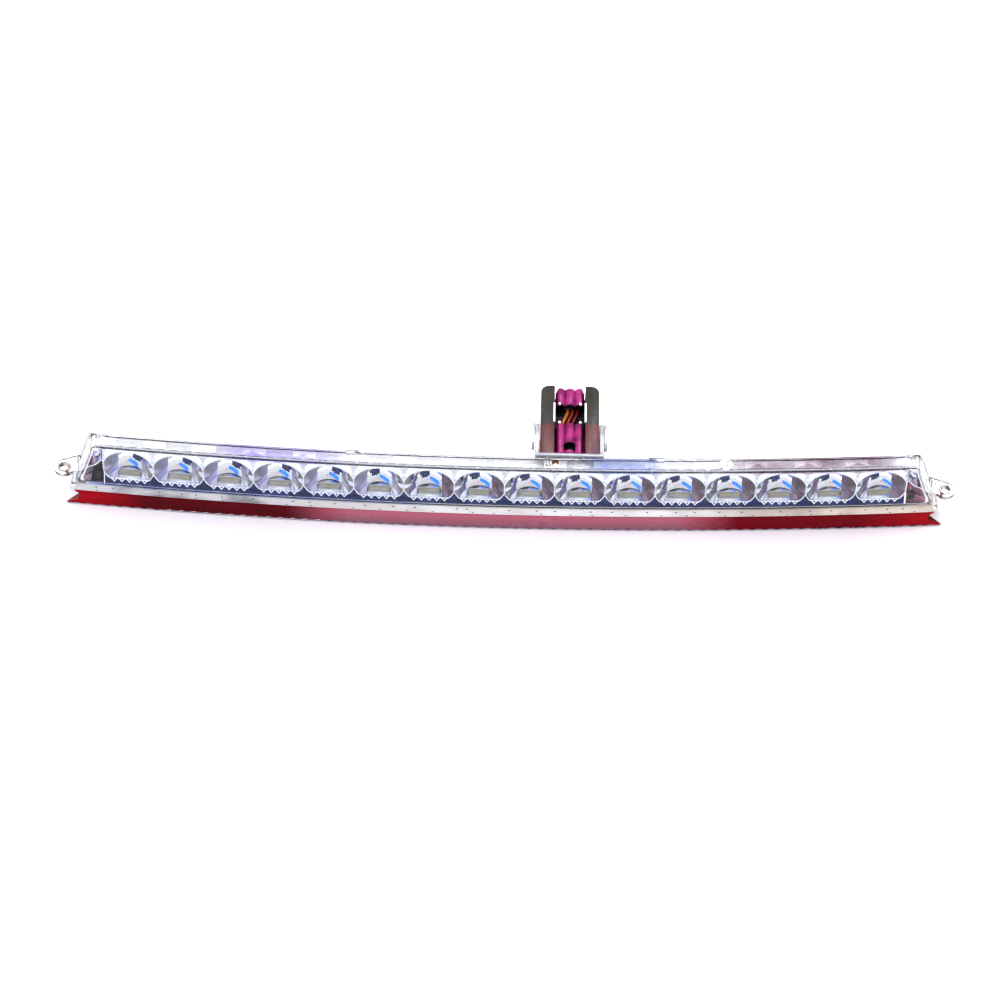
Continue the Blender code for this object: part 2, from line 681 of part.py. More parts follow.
def make_ribbon(look):
    """A flat lead from the board up behind the cusp of two bowls and out to the terminals."""
    x, level = ribbon_x(), ribbon_level()
    thick = RIBBON_SIZE[1]
    front, back = POST_DEPTH, roof_y(level + thick) - GAP
    outline = [
        (front, BOARD_TOP + GAP),
        (front, level + thick),
        (back, level + thick),
        (back, level),
        (front + thick, level),
        (front + thick, BOARD_TOP + GAP),
    ]
    half = RIBBON_SIZE[0] / 2
    add("feed_ribbon", prism("feed_ribbon", outline, x - half, x + half, x, "x"), look)


# Connector


def make_cradle(look):
    """The clear bracket on the sloping roof: a plate that holds the terminals, a floor, two walls and a front bar."""
    floor_top = PLUG_BOTTOM - PLUG_ROOM
    floor = floor_top - CRADLE_PLATE
    behind = HOUSING_BACK + PLATE_FRONT
    knee = ROOF_TOP - (HOUSING_BACK - HOUSING_FRONT) / ROOF_RUN
    top = LEDGE_TOP + CRADLE_BAR - 0.3 * MM
    outline = [
        (roof_y(ROOF_TOP) + PLATE_FRONT, top),
        (roof_y(ROOF_TOP) + PLATE_BACK, top),
        (roof_y(ROOF_TOP) + PLATE_BACK, ROOF_TOP),
        (roof_y(floor_top) + PLATE_BACK, floor_top),
        (CRADLE_BACK, floor_top),
        (CRADLE_BACK, floor),
        (behind, floor),
        (behind, knee),
        (roof_y(ROOF_TOP) + PLATE_FRONT, ROOF_TOP),
    ]
    low, high = PLUG_X - CRADLE_OUTER, PLUG_X + CRADLE_OUTER
    cradle = add("connector_cradle", prism("connector_cradle", outline, low, high, PLUG_X, "x"), look)

    wall_top = PLUG_TOP - 1.4 * MM
    side = [
        (roof_y(wall_top) + PLATE_FRONT + CRADLE_PLATE / 2, wall_top),
        (CRADLE_BACK - 0.2 * MM, wall_top),
        (CRADLE_BACK - 0.2 * MM, floor + CRADLE_PLATE / 2),
        (roof_y(floor_top) + PLATE_FRONT + CRADLE_PLATE / 2, floor + CRADLE_PLATE / 2),
    ]
    for k, x in enumerate((PLUG_X - CRADLE_OUTER + 0.1 * MM, PLUG_X + CRADLE_INNER)):
        wall = prism("wall", side, x, x + CRADLE_WALL - 0.1 * MM, PLUG_X, "x")
        boolean(cradle, helper(f"join_wall_{k}", wall), "UNION")

    cuts = bmesh.new()
    for x in pin_places():
        half_x, half_z = PIN_SIZE[0] / 2 + GAP, PIN_SIZE[2] / 2 + GAP
        low = (x - half_x, roof_y(PIN_LEVEL) - 2 * MM, PIN_LEVEL - half_z)
        block(low, (x + half_x, roof_y(PIN_LEVEL) + 5 * MM, PIN_LEVEL + half_z), PLUG_X, cuts)
    boolean(cradle, helper("cut_pins", finished(cuts, "cut_pins")), "DIFFERENCE")


def pin_places():
    return [PLUG_X + k * PIN_PITCH for k in (-1, 0, 1)]


def pin_front():
    return roof_y(PIN_LEVEL - PIN_SIZE[2] / 2) + GAP + 0.1 * MM


def make_terminals(look):
    x, y, z = PIN_SIZE
    for k, across in enumerate(pin_places()):
        mesh = chamfered("terminal", (x, y, z), 0.2 * MM)
        where = beside(across, pin_front() + y / 2, PIN_LEVEL - z / 2, PLUG_X)
        add(f"terminal_{k + 1}", mesh, look, where)


def make_latches(look):
    """Sprung arms outside the cradle's walls, with a hook that turns in behind their ends."""
    thick, length, height = LATCH_SIZE
    inner = CRADLE_OUTER + PLUG_ROOM
    reach = inner - PLUG_WIDTH / 2 - PLUG_ROOM
    back = CRADLE_BACK + 2 * GAP + LATCH_HOOK
    front = back - length
    for name, side in (("latch_left", -1), ("latch_right", 1)):
        outline = [
            (0, 0),
            (side * thick, 0),
            (side * thick, length),
            (-side * reach, length),
            (-side * reach, length - LATCH_HOOK * 0.6),
            (-side * reach * 0.6, length - LATCH_HOOK),
            (0, length - LATCH_HOOK),
        ]
        bm = bmesh.new()
        rings = [[bm.verts.new((x, y, z)) for x, y in outline] for z in (-height / 2, height / 2)]
        grid_faces(bm, [ring + ring[:1] for ring in rings])
        bm.faces.new(rings[0])
        bm.faces.new(rings[1])
        where = beside(PLUG_X + side * inner, front, LATCH_LEVEL, PLUG_X)
        add(name, finished(bm, name), look, where)


def slant_cutter(name, setback):
    """Everything ahead of a line parallel to the roof."""
    high, low = PLUG_TOP + 3 * MM, PLUG_BOTTOM - 3 * MM
    ahead = HOUSING_FRONT - 12 * MM
    outline = [(ahead, high), (roof_y(high) + setback, high), (roof_y(low) + setback, low), (ahead, low)]
    mesh = prism(name, outline, PLUG_X - PLUG_WIDTH, PLUG_X + PLUG_WIDTH, PLUG_X, "x")
    return helper(name, mesh)


def make_shell(look, axis):
    """A smoky hood with rounded far corners, a slanted mouth and a channel along its middle."""
    half = PLUG_WIDTH / 2
    ahead = PLUG_FRONT - 3 * MM
    outline = [(PLUG_X - half, ahead), (PLUG_X + half, ahead)]
    for start, side in ((0, 1), (90, -1)):
        for k in range(5):
            a = math.radians(start + 22.5 * k)
            x = PLUG_X + side * (half - PLUG_CORNER) + PLUG_CORNER * math.cos(a)
            outline.append((x, PLUG_BACK - PLUG_CORNER + PLUG_CORNER * math.sin(a)))
    mesh = prism("plug_shell", outline, PLUG_BOTTOM, PLUG_TOP, PLUG_X)
    shell = add("plug_shell", mesh, look)
    boolean(shell, slant_cutter("cut_shell_mouth", PLUG_SET), "DIFFERENCE")
    bm = block(
        (PLUG_X - CHANNEL_WIDTH / 2, ahead - 8 * MM, PLUG_BOTTOM + CHANNEL_FLOOR),
        (PLUG_X + CHANNEL_WIDTH / 2, PLUG_BACK + 4 * MM, PLUG_TOP + 4 * MM),
        PLUG_X,
    )
    boolean(shell, helper("cut_channel", finished(bm, "cut_channel")), "DIFFERENCE")
    shell.parent = axis
    shell.location = -axis.location
    return shell


def ribbed_block(name, front, back, look, axis):
    """A block for the channel, with three ribs along its top."""
    half = INSERT_WIDTH / 2
    low, high = INSERT_BOTTOM, INSERT_TOP - INSERT_RIB
    outline = [(PLUG_X - half, low), (PLUG_X + half, low), (PLUG_X + half, high)]
    for k in (1, 0, -1):
        middle = PLUG_X + k * INSERT_WIDTH / 3.2
        wide = INSERT_WIDTH / 8.5
        outline += [(middle + wide, high), (middle + wide * 0.6, INSERT_TOP)]
        outline += [(middle - wide * 0.6, INSERT_TOP), (middle - wide, high)]
    outline.append((PLUG_X - half, high))
    bm = bmesh.new()
    rings = [[bm.verts.new(beside(x, y, z, PLUG_X)) for x, z in outline] for y in (front, back)]
    grid_faces(bm, [ring + ring[:1] for ring in rings])
    bm.faces.new(rings[0])
    bm.faces.new(rings[1])
    thing = add(name, finished(bm, name), look)
    thing.parent = axis
    thing.location = -axis.location
    return thing


def lead_places(part):
    """Lead middles across the channel, at the insert (part 0) and at the lock (part 1)."""
    return [PLUG_X + k * LEAD_PITCH + (part - 0.5) * LEAD_DRIFT for k in (-1, 0, 1)]


def lead_cutter(name, places, front, back):
    bm = bmesh.new()
    radius = LEAD_DIAMETER / 2 + GAP
    for x in places:
        rings = []
        for y in (front, back):
            ring = [beside(u, y, v, PLUG_X) for u, v in circle(x, LEAD_LEVEL, radius, 12)]
            rings.append([bm.verts.new(point) for point in ring])
        grid_faces(bm, [ring + ring[:1] for ring in rings])
        bm.faces.new(rings[0])
        bm.faces.new(rings[1])
    return helper(name, finished(bm, name))


def make_insert(look, axis):
    insert = ribbed_block("plug_insert", PLUG_FRONT - 4 * MM, INSERT_BACK, look, axis)
    boolean(insert, slant_cutter("cut_insert_mouth", PLUG_SET + 2 * GAP), "DIFFERENCE")
    bm = bmesh.new()
    for x in pin_places():
        half_x, half_z = PIN_SIZE[0] / 2 + PIN_ROOM, PIN_SIZE[2] / 2 + PIN_ROOM
        low = (x - half_x, PLUG_FRONT - 4 * MM, PIN_LEVEL - half_z)
        block(low, (x + half_x, pin_front() + PIN_SIZE[1] + PIN_ROOM, PIN_LEVEL + half_z), PLUG_X, bm)
    boolean(insert, helper("cut_sockets", finished(bm, "cut_sockets")), "DIFFERENCE")
    width, length, depth = LATCH_WINDOW
    front = roof_y(INSERT_TOP - depth) + PLUG_SET + 2 * GAP + LATCH_WINDOW_WALL
    low = (PLUG_X - width / 2, front, INSERT_TOP - depth)
    cut = finished(block(low, (PLUG_X + width / 2, front + length, INSERT_TOP + 2 * MM), PLUG_X), "latch_window")
    boolean(insert, helper("cut_latch_window", cut), "DIFFERENCE")
    depth = LEAD_HOLD + GAP
    cutter = lead_cutter("cut_insert_leads", lead_places(0), INSERT_BACK - depth, INSERT_BACK + 1 * MM)
    boolean(insert, cutter, "DIFFERENCE")


def make_lock(look, axis):
    lock = ribbed_block("plug_lock", LOCK_FRONT, LOCK_BACK, look, axis)
    depth = LEAD_HOLD + LOCK_TRAVEL / 2 + GAP
    cutter = lead_cutter("cut_lock_leads", lead_places(1), LOCK_FRONT - 1 * MM, LOCK_FRONT + depth)
    boolean(lock, cutter, "DIFFERENCE")


def make_seal(look, axis):
    half = INSERT_WIDTH / 2
    bm = block(
        (PLUG_X - half, INSERT_BACK + GAP, INSERT_BOTTOM),
        (PLUG_X + half, LOCK_FRONT - GAP, INSERT_BOTTOM + SEAL_HEIGHT),
        PLUG_X,
    )
    seal = add("wire_seal", finished(bm, "wire_seal"), look)
    seal.parent = axis
    seal.location = -axis.location


def make_leads(looks, axis):
    """Three leads cross the gap between the insert and the lock on a slow S, held at both ends."""
    starts, stops = lead_places(0), lead_places(1)
    front, back = INSERT_BACK - LEAD_HOLD, LOCK_FRONT + LEAD_HOLD
    count = 13
    for (name, look), x0, x1 in zip(looks, starts, stops):
        curve = bpy.data.curves.new(name, "CURVE")
        curve.dimensions = "3D"
        curve.bevel_depth = LEAD_DIAMETER / 2
        curve.bevel_resolution = 2
        curve.use_fill_caps = True
        spline = curve.splines.new("POLY")
        spline.points.add(count - 1)
        for k in range(count):
            y = front + (back - front) * k / (count - 1)
            across = min(1.0, max(0.0, (y - INSERT_BACK) / WINDOW_LENGTH))
            ease = across * across * (3 - 2 * across)
            lift = 0.5 * MM * math.sin(math.pi * across)
            point = beside(x0 + (x1 - x0) * ease, y, LEAD_LEVEL + lift, PLUG_X)
            spline.points[k].co = (*point, 1.0)
        curve.materials.append(look)
        lead = bpy.data.objects.new(name, curve)
        bpy.context.scene.collection.objects.link(lead)
        lead.parent = axis
        lead.location = -axis.location


def main():
    for thing in list(bpy.data.objects):
        bpy.data.objects.remove(thing)
    clear = material("clear_polycarbonate", (0.93, 0.94, 0.95), 0.05, transmission=0.95)
    make_housing(clear)
    make_cover(clear)
    make_red_lens(material("red_acrylic", (0.42, 0.0, 0.012), 0.08, transmission=0.6))
    make_trim(material("cream_plastic", (0.78, 0.73, 0.62), 0.35))
    make_reflector(material("vacuum_metalised", (0.9, 0.9, 0.92), 0.06, metallic=1.0))
    make_bushes(material("plated_steel", (0.62, 0.6, 0.56), 0.3, metallic=1.0))
    make_vent(material("vent_fabric", (0.85, 0.85, 0.85), 0.8))
    make_board(material("board_laminate", (0.1, 0.2, 0.13), 0.45))
    make_leds(material("led_ceramic", (0.72, 0.69, 0.52), 0.4))
    steel = material("screw_steel", (0.5, 0.5, 0.5), 0.35, metallic=1.0)
    dark = material("epoxy_black", (0.03, 0.03, 0.03), 0.4)
    make_board_parts(dark, dark, steel)
    make_ribbon(material("ribbon_film", (0.6, 0.35, 0.08), 0.4))
    make_cradle(clear)
    make_terminals(material("tinned_brass", (0.7, 0.66, 0.55), 0.3, metallic=1.0))
    make_latches(clear)

    axis = bpy.data.objects.new("plug_axis", None)
    axis.location = beside(PLUG_X, PLUG_FRONT, (PLUG_TOP + PLUG_BOTTOM) / 2, PLUG_X)
    bpy.context.scene.collection.objects.link(axis)
    pink = material("pink_nylon", (0.62, 0.12, 0.36), 0.4)
    make_shell(material("smoky_polycarbonate", (0.11, 0.1, 0.1), 0.2), axis)
    make_insert(pink, axis)
    make_lock(pink, axis)
    make_seal(material("black_rubber", (0.015, 0.015, 0.018), 0.7), axis)
    leads = (
        ("lead_yellow", material("lead_yellow", (0.8, 0.55, 0.12), 0.4)),
        ("lead_orange", material("lead_orange", (0.75, 0.2, 0.04), 0.4)),
        ("lead_red", material("lead_red", (0.5, 0.02, 0.03), 0.4)),
    )
    make_leads(leads, axis)
    for thing in bpy.data.objects:
        if thing.type == "MESH":
            thing.data.set_sharp_from_angle(angle=math.radians(30))


main()
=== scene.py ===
# Third brake light: a bowed chrome lamp bar under a clear cover, a red lens strip below it and a plug on its back.
import math
import random

import bmesh
import bpy
from mathutils import Matrix, Vector


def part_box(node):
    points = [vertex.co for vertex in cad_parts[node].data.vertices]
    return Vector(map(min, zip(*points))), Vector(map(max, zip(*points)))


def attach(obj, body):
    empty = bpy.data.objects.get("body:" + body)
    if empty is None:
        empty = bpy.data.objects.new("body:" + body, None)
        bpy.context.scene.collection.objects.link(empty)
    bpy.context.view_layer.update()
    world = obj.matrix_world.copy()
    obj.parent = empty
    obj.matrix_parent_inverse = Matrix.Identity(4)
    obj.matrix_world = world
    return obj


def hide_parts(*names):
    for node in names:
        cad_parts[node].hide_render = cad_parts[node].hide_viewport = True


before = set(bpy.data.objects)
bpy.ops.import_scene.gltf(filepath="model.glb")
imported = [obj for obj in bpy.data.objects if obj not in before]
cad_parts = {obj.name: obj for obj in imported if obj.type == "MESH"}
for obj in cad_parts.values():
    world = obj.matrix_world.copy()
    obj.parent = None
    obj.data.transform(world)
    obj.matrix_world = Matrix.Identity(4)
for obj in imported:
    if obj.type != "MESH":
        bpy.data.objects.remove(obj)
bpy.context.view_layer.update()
mm = 0.001
scene = bpy.context.scene
print("frame loaded:", len(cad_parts), "nodes")


# all lengths below are millimetres, and a mesh becomes metres in makeObject
def linear(hexText):  # sRGB hex to the linear colour that shaders take
    parts = [int(hexText[k:k + 2], 16) / 255 for k in (1, 3, 5)]
    return tuple(c / 12.92 if c <= 0.04045 else ((c + 0.055) / 1.055) ** 2.4 for c in parts) + (1.0,)


def setSockets(tree, node, sockets):  # links a node or a socket, turns a hex colour linear, or sets a number
    for key, value in sockets.items():
        if isinstance(value, bpy.types.Node):
            value = next(output for output in value.outputs if output.enabled)
        if isinstance(value, bpy.types.NodeSocket):
            tree.links.new(value, node.inputs[key])
        else:
            node.inputs[key].default_value = linear(value) if isinstance(value, str) else value


def addNode(tree, kind, sockets=None, **settings):
    node = tree.nodes.new(kind)
    for key, value in settings.items():
        setattr(node, key, value)
    setSockets(tree, node, sockets or {})
    return node


def cadCorner(node, end):
    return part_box(node)[end] / mm


lamp = {
    "bowRadius": 2470.0,  # plan curve of the bar, middle forward
    "front": cadCorner("red_lens", 0).y,  # the red lens at the middle of the bar
    "redTop": cadCorner("red_lens", 1).z,
    "trimBottom": cadCorner("trim_strip", 0).z,
    "trimTop": cadCorner("trim_strip", 1).z,
    "panelBottom": cadCorner("front_cover", 0).z,
    "panelTop": cadCorner("reflector", 1).z,
    "boardTop": cadCorner("led_board", 1).z,
    "gap": 0.3,
    "endFoot": 206.0,
    "endLean": 9.0,
    "cornerRadius": 5.0,
    "coverWall": 2.0,
    "coverSetback": 0.8,
    "ledgeBack": 9.1,
    "mirrorPlane": 3.1,
    "housingFront": 9.4,
    "housingBack": 18.8,
    "roofRun": 0.8797,  # the sloping roof goes back this far for each unit of drop
}
lamp["ledgeTop"] = lamp["panelTop"] + lamp["gap"] + lamp["coverWall"]
lamp["roofTop"] = lamp["ledgeTop"] - lamp["gap"]


def bow(x):
    return lamp["bowRadius"] - math.sqrt(lamp["bowRadius"] ** 2 - x * x)


def place(x, y, z):  # straight section to bowed lamp
    return Vector((x, lamp["front"] + y + bow(x), z))


def beside(x, y, z, at):  # keeps a piece's shape, with the bow's shift at one place
    return Vector((x, lamp["front"] + y + bow(at), z))


def endX(z, inset=0.0):  # the slanted, round-cornered end of the lamp, drawn in by inset
    lean = lamp["endLean"] / (lamp["ledgeTop"] - lamp["panelBottom"])
    across = math.sqrt(1 + lean * lean)
    centreZ = lamp["ledgeTop"] - lamp["cornerRadius"]
    centreX = lamp["endFoot"] - (centreZ - lamp["panelBottom"]) * lean - lamp["cornerRadius"] * across
    radius = lamp["cornerRadius"] - inset
    up = z - centreZ
    if up <= radius * lean / across:
        return lamp["endFoot"] - (z - lamp["panelBottom"]) * lean - inset * across
    return centreX + math.sqrt(max(0.0, radius * radius - up * up))


def roofY(z):
    return lamp["housingFront"] + (lamp["roofTop"] - z) * lamp["roofRun"]


def span(low, high, count):
    return [low + (high - low) * k / (count - 1) for k in range(count)]


def ease(t):
    t = min(1.0, max(0.0, t))
    return t * t * (3 - 2 * t)


def makeObject(name, bm, materials=(), sharp=35.0, merge=1e-4):
    if merge:
        bmesh.ops.remove_doubles(bm, verts=bm.verts, dist=merge)
        bmesh.ops.dissolve_degenerate(bm, edges=bm.edges, dist=merge)
        bmesh.ops.recalc_face_normals(bm, faces=bm.faces)
    bmesh.ops.scale(bm, vec=(mm, mm, mm), verts=bm.verts)
    mesh = bpy.data.meshes.new(name)
    bm.to_mesh(mesh)
    bm.free()
    thing = bpy.data.objects.new(name, mesh)
    scene.collection.objects.link(thing)
    for one in materials:
        mesh.materials.append(one)
    mesh.shade_smooth()
    if sharp:
        mesh.set_sharp_from_angle(angle=math.radians(sharp))
    return thing


def gridFaces(bm, rows, close=False, material=0):
    for one, two in zip(rows, rows[1:]):
        count = len(one) if close else len(one) - 1
        for k in range(count):
            n = (k + 1) % len(one)
            corners = []
            for vert in (one[k], one[n], two[n], two[k]):
                if vert not in corners:
                    corners.append(vert)
            if len(corners) > 2:
                bm.faces.new(corners).material_index = material


def ringSolid(bm, rings, material=0):  # closes a stack of rings at both ends
    rows = [[bm.verts.new(point) for point in ring] for ring in rings]
    gridFaces(bm, rows, close=True, material=material)
    bm.faces.new(rows[0]).material_index = material
    bm.faces.new(rows[-1]).material_index = material
    return rows


def edgeChain(bm, points, close=False):  # a run of edges for a bead to follow
    verts = [bm.verts.new(point) for point in points]
    for one, two in zip(verts, verts[1:] + verts[:1] if close else verts[1:]):
        bm.edges.new((one, two))


def circle(x, y, radius, sides=48):
    turns = [2 * math.pi * k / sides for k in range(sides)]
    return [(x + radius * math.cos(a), y + radius * math.sin(a)) for a in turns]


def turnedRings(profile, sides):
    return [[Vector((x, y, z)) for x, y in circle(0, 0, r, sides)] for r, z in profile]


def cornerLevels(inset=0.0, count=8):
    first = math.atan(lamp["endLean"] / (lamp["ledgeTop"] - lamp["panelBottom"]))
    radius = lamp["cornerRadius"] - inset
    centre = lamp["ledgeTop"] - lamp["cornerRadius"]
    return [centre + radius * math.sin(first + (math.pi / 2 - first) * k / count) for k in range(count)]


def modify(thing, kind, **settings):
    change = thing.modifiers.new(kind.title(), kind)
    for key, value in settings.items():
        setattr(change, key, value)
    return change


def bevel(thing, width, segments=2, angle=40.0):
    modify(
        thing, "BEVEL", width=width * mm, segments=segments, limit_method="ANGLE",
        angle_limit=math.radians(angle), harden_normals=False, miter_outer="MITER_ARC",
    )


def cut(thing, cutter, operation="DIFFERENCE"):
    change = modify(thing, "BOOLEAN", operation=operation, solver="EXACT", object=cutter)
    change.name = cutter.name
    cutter.hide_render = True


def settle(thing, sharp=35.0):  # turns the modifiers' result into a plain mesh
    graph = bpy.context.evaluated_depsgraph_get()
    cutters = [m.object for m in thing.modifiers if m.type == "BOOLEAN"]
    mesh = bpy.data.meshes.new_from_object(thing.evaluated_get(graph))
    thing.modifiers.clear()
    thing.data = mesh
    mesh.shade_smooth()
    if sharp:
        mesh.set_sharp_from_angle(angle=math.radians(sharp))
    for cutter in cutters:
        bpy.data.objects.remove(cutter)
    return thing


def finishPiece(thing, body, slot, *nodes):
    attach(thing, body)
    if nodes:
        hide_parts(*nodes)
    return thing


def newMaterial(name, sockets):
    made = bpy.data.materials.new(name)
    made.use_nodes = True
    tree = made.node_tree
    shader = tree.nodes["Principled BSDF"]
    setSockets(tree, shader, sockets)
    return made, tree, shader


def cloudMarks(tree, size, detail=2.0, stretch=(1, 1, 1)):  # an uneven cloud on the piece, its width in mm
    where = addNode(tree, "ShaderNodeTexCoord").outputs["Object"]
    scaled = addNode(tree, "ShaderNodeMapping", {"Vector": where, "Scale": stretch})
    return addNode(tree, "ShaderNodeTexNoise", {
        "Vector": scaled, "Scale": 1 / (size * mm), "Detail": detail, "Roughness": 0.5,
    })


def twoShades(tree, cloud, first, last, low=0.35, high=0.65):  # two shades of a finish, mottled by a cloud
    share = addNode(tree, "ShaderNodeMapRange", {"Value": cloud, "From Min": low, "From Max": high})
    return addNode(tree, "ShaderNodeMix", {"Factor": share, "A": first, "B": last}, data_type="RGBA")


def shadeAlong(tree, axis, low, high, first, last):  # one shade turns into another between two places, in mm
    where = addNode(tree, "ShaderNodeTexCoord").outputs["Object"]
    part = addNode(tree, "ShaderNodeSeparateXYZ", {"Vector": where}).outputs[axis]
    share = addNode(tree, "ShaderNodeMapRange", {"Value": part, "From Min": low * mm, "From Max": high * mm})
    return addNode(tree, "ShaderNodeMix", {"Factor": share, "A": first, "B": last}, data_type="RGBA")


def paintedBand(tree, shade, bandColour, low, high, soft, strength=1.0):  # paints another colour, a painted reflection or painted shade, along one length of the bar, in mm
    where = addNode(tree, "ShaderNodeTexCoord").outputs["Object"]
    part = addNode(tree, "ShaderNodeSeparateXYZ", {"Vector": where}).outputs["X"]
    rise = addNode(tree, "ShaderNodeMapRange", {
        "Value": part, "From Min": (low - soft) * mm, "From Max": (low + soft) * mm, "To Max": strength,
    })
    fall = addNode(tree, "ShaderNodeMapRange", {
        "Value": part, "From Min": (high - soft) * mm, "From Max": (high + soft) * mm, "To Min": 1.0, "To Max": 0.0,
    })
    share = addNode(tree, "ShaderNodeMath", {0: rise, 1: fall}, operation="MULTIPLY")
    return addNode(tree, "ShaderNodeMix", {"Factor": share, "A": shade, "B": bandColour}, data_type="RGBA")


def polish(tree, shader, cloud, smooth, rough, relief=None, depth=0.0):  # uneven gloss, and a relief of depth mm
    gloss = addNode(tree, "ShaderNodeMapRange", {
        "Value": cloud, "From Min": 0.3, "From Max": 0.7, "To Min": smooth, "To Max": rough,
    })
    setSockets(tree, shader, {"Roughness": gloss})
    if relief is not None:
        bump = addNode(tree, "ShaderNodeBump", {"Height": relief, "Distance": depth * mm, "Strength": 1.0})
        setSockets(tree, shader, {"Normal": bump})


flowMarks = {"size": 14, "stretch": (0.4, 1, 1), "smooth": 0.02, "rough": 0.06, "depth": 0.02}


def clearPolycarbonate():  # injection-moulded, water-clear, with a faint flow ripple
    made, tree, shader = newMaterial("clearPolycarbonate", {
        "Base Color": "#FAFBFC", "IOR": 1.586, "Transmission Weight": 1.0, "Specular IOR Level": 0.3,
    })
    flow = cloudMarks(tree, flowMarks["size"], 2.0, flowMarks["stretch"])
    polish(tree, shader, flow, flowMarks["smooth"], flowMarks["rough"], flow, flowMarks["depth"])
    return made


ledgeReflections = {
    "lengths": ((-136, -82, 10, "#C2B8EA"), (40, 72, 4, "#AEB8E8"), (112, 184, 9, "#A48898")),  # low, high, soft
    "above": (0.0413, 0.0417),  # only the ledge, which is higher than this, in metres
}


def coverPolycarbonate():  # the same, its ledge painted with reflections: lilac in one length, blue in one and mauve in one
    made, tree, shader = newMaterial("coverPolycarbonate", {
        "IOR": 1.586, "Transmission Weight": 1.0, "Specular Tint": "#8A8A8C",
    })
    where = addNode(tree, "ShaderNodeTexCoord").outputs["Object"]
    height = addNode(tree, "ShaderNodeSeparateXYZ", {"Vector": where}).outputs["Z"]
    ledge = addNode(tree, "ShaderNodeMapRange", {
        "Value": height, "From Min": ledgeReflections["above"][0], "From Max": ledgeReflections["above"][1],
    })
    streak = addNode(tree, "ShaderNodeMapRange", {
        "Value": cloudMarks(tree, 7, 3.0, (0.25, 1, 1)), "From Min": 0.35, "From Max": 0.6, "To Min": 0.55,
    })
    strength = addNode(tree, "ShaderNodeMath", {0: streak, 1: ledge}, operation="MULTIPLY")
    shade = "#FAFBFC"
    # each band is a painted reflection on the ledge
    for low, high, soft, colour in ledgeReflections["lengths"]:
        shade = paintedBand(tree, shade, colour, low, high, soft, strength)
    setSockets(tree, shader, {"Base Color": shade})
    flow = cloudMarks(tree, flowMarks["size"], 2.0, flowMarks["stretch"])
    polish(tree, shader, flow, flowMarks["smooth"], flowMarks["rough"], flow, flowMarks["depth"])
    return made


def frostedPolycarbonate():  # clear moulding drawn milky white for its thick edges and tool marks; on the ledge's edge bead that white is a painted highlight
    made, tree, shader = newMaterial("frostedPolycarbonate", {
        "Base Color": "#F4F5F7", "IOR": 1.586, "Transmission Weight": 0.6,
    })
    mark = cloudMarks(tree, 2, 3.0, (1, 0.3, 1))
    polish(tree, shader, mark, 0.12, 0.3, mark, 0.02)
    return made


redLengths = {  # low, high and soft places along the bar of painted shade and of a painted reflection
    "dark": (96, 182, 12),
    "dull": (-183, -85, 11),
    "hazed": (-90, 98, 15),
}


def redAcrylic():  # moulded PMMA, clear deep red at the ends, with painted shade in the left half and in a length on the right, a painted pink reflection in the middle and painted shade along the foot
    made, tree, shader = newMaterial("redAcrylic", {
        "IOR": 1.49, "Transmission Weight": 0.08, "Specular IOR Level": 0.12,
    })
    streak = cloudMarks(tree, 9, 3.0, (0.3, 1, 1))
    fresh = twoShades(tree, streak, "#B8001F", "#9E001A")
    # painted shade in a length on the right, then deeper in the left half
    dark = paintedBand(tree, fresh, "#82001C", *redLengths["dark"])
    deep = paintedBand(tree, dark, twoShades(tree, streak, "#600012", "#760016"), *redLengths["dull"])
    # a painted pinkish reflection over the middle, pinker higher up
    reflectionTint = shadeAlong(tree, "Z", 2.0, 9.0, "#A0717B", "#C07480")
    hazed = paintedBand(tree, deep, reflectionTint, *redLengths["hazed"])
    setSockets(tree, shader, {"Base Color": shadeAlong(tree, "Z", 0.7, 1.3, "#5A000E", hazed)})  # painted shade along the foot
    polish(tree, shader, streak, 0.18, 0.3)
    return made


def creamPlastic():  # moulded ABS with an eggshell grain, greyer at the left end and warmer at the right
    made, tree, shader = newMaterial("creamPlastic", {"IOR": 1.53, "Specular IOR Level": 0.4})
    mottle = cloudMarks(tree, 9, 4.0, (0.5, 1, 1))
    left = twoShades(tree, mottle, "#8F8C8A", "#C9C6C2", 0.4, 0.6)
    middle = twoShades(tree, mottle, "#E6E4DE", "#CFCAC0")
    right = twoShades(tree, mottle, "#D8CCBA", "#B9AB98")
    half = shadeAlong(tree, "X", -120, -50, left, middle)
    setSockets(tree, shader, {"Base Color": shadeAlong(tree, "X", 80, 150, half, right)})
    polish(tree, shader, mottle, 0.28, 0.42, cloudMarks(tree, 0.5), 0.015)
    return made


def backMoulding():  # the unplated back of the mirror, off-white, with a faint painted glow that lifts it out of shade
    made, tree, shader = newMaterial("backMoulding", {
        "IOR": 1.5, "Roughness": 0.5, "Emission Color": "#F4F3F6", "Emission Strength": 0.16,
    })
    cloud = cloudMarks(tree, 8, 3.0, (0.4, 1, 1))
    setSockets(tree, shader, {"Base Color": twoShades(tree, cloud, "#FBFBFA", "#EAE9EC")})
    return made


def metalising(name, colour, smooth, rough, ripple):  # aluminium vapour under lacquer: a mirror with orange peel
    made, tree, shader = newMaterial(name, {"Base Color": colour, "Metallic": 1.0})
    peel = cloudMarks(tree, 3.2)
    polish(tree, shader, peel, smooth, rough, peel, ripple)
    return made


def mouldedPlastic(name, first, last, roughness, ior=1.5, more=None):  # pigmented moulding with a fine grain
    made, tree, shader = newMaterial(name, {"IOR": ior, **(more or {})})
    cloud = cloudMarks(tree, 6, 3.0)
    setSockets(tree, shader, {"Base Color": twoShades(tree, cloud, first, last)})
    polish(tree, shader, cloud, roughness * 0.85, roughness * 1.15, cloudMarks(tree, 0.6), 0.012)
    return made


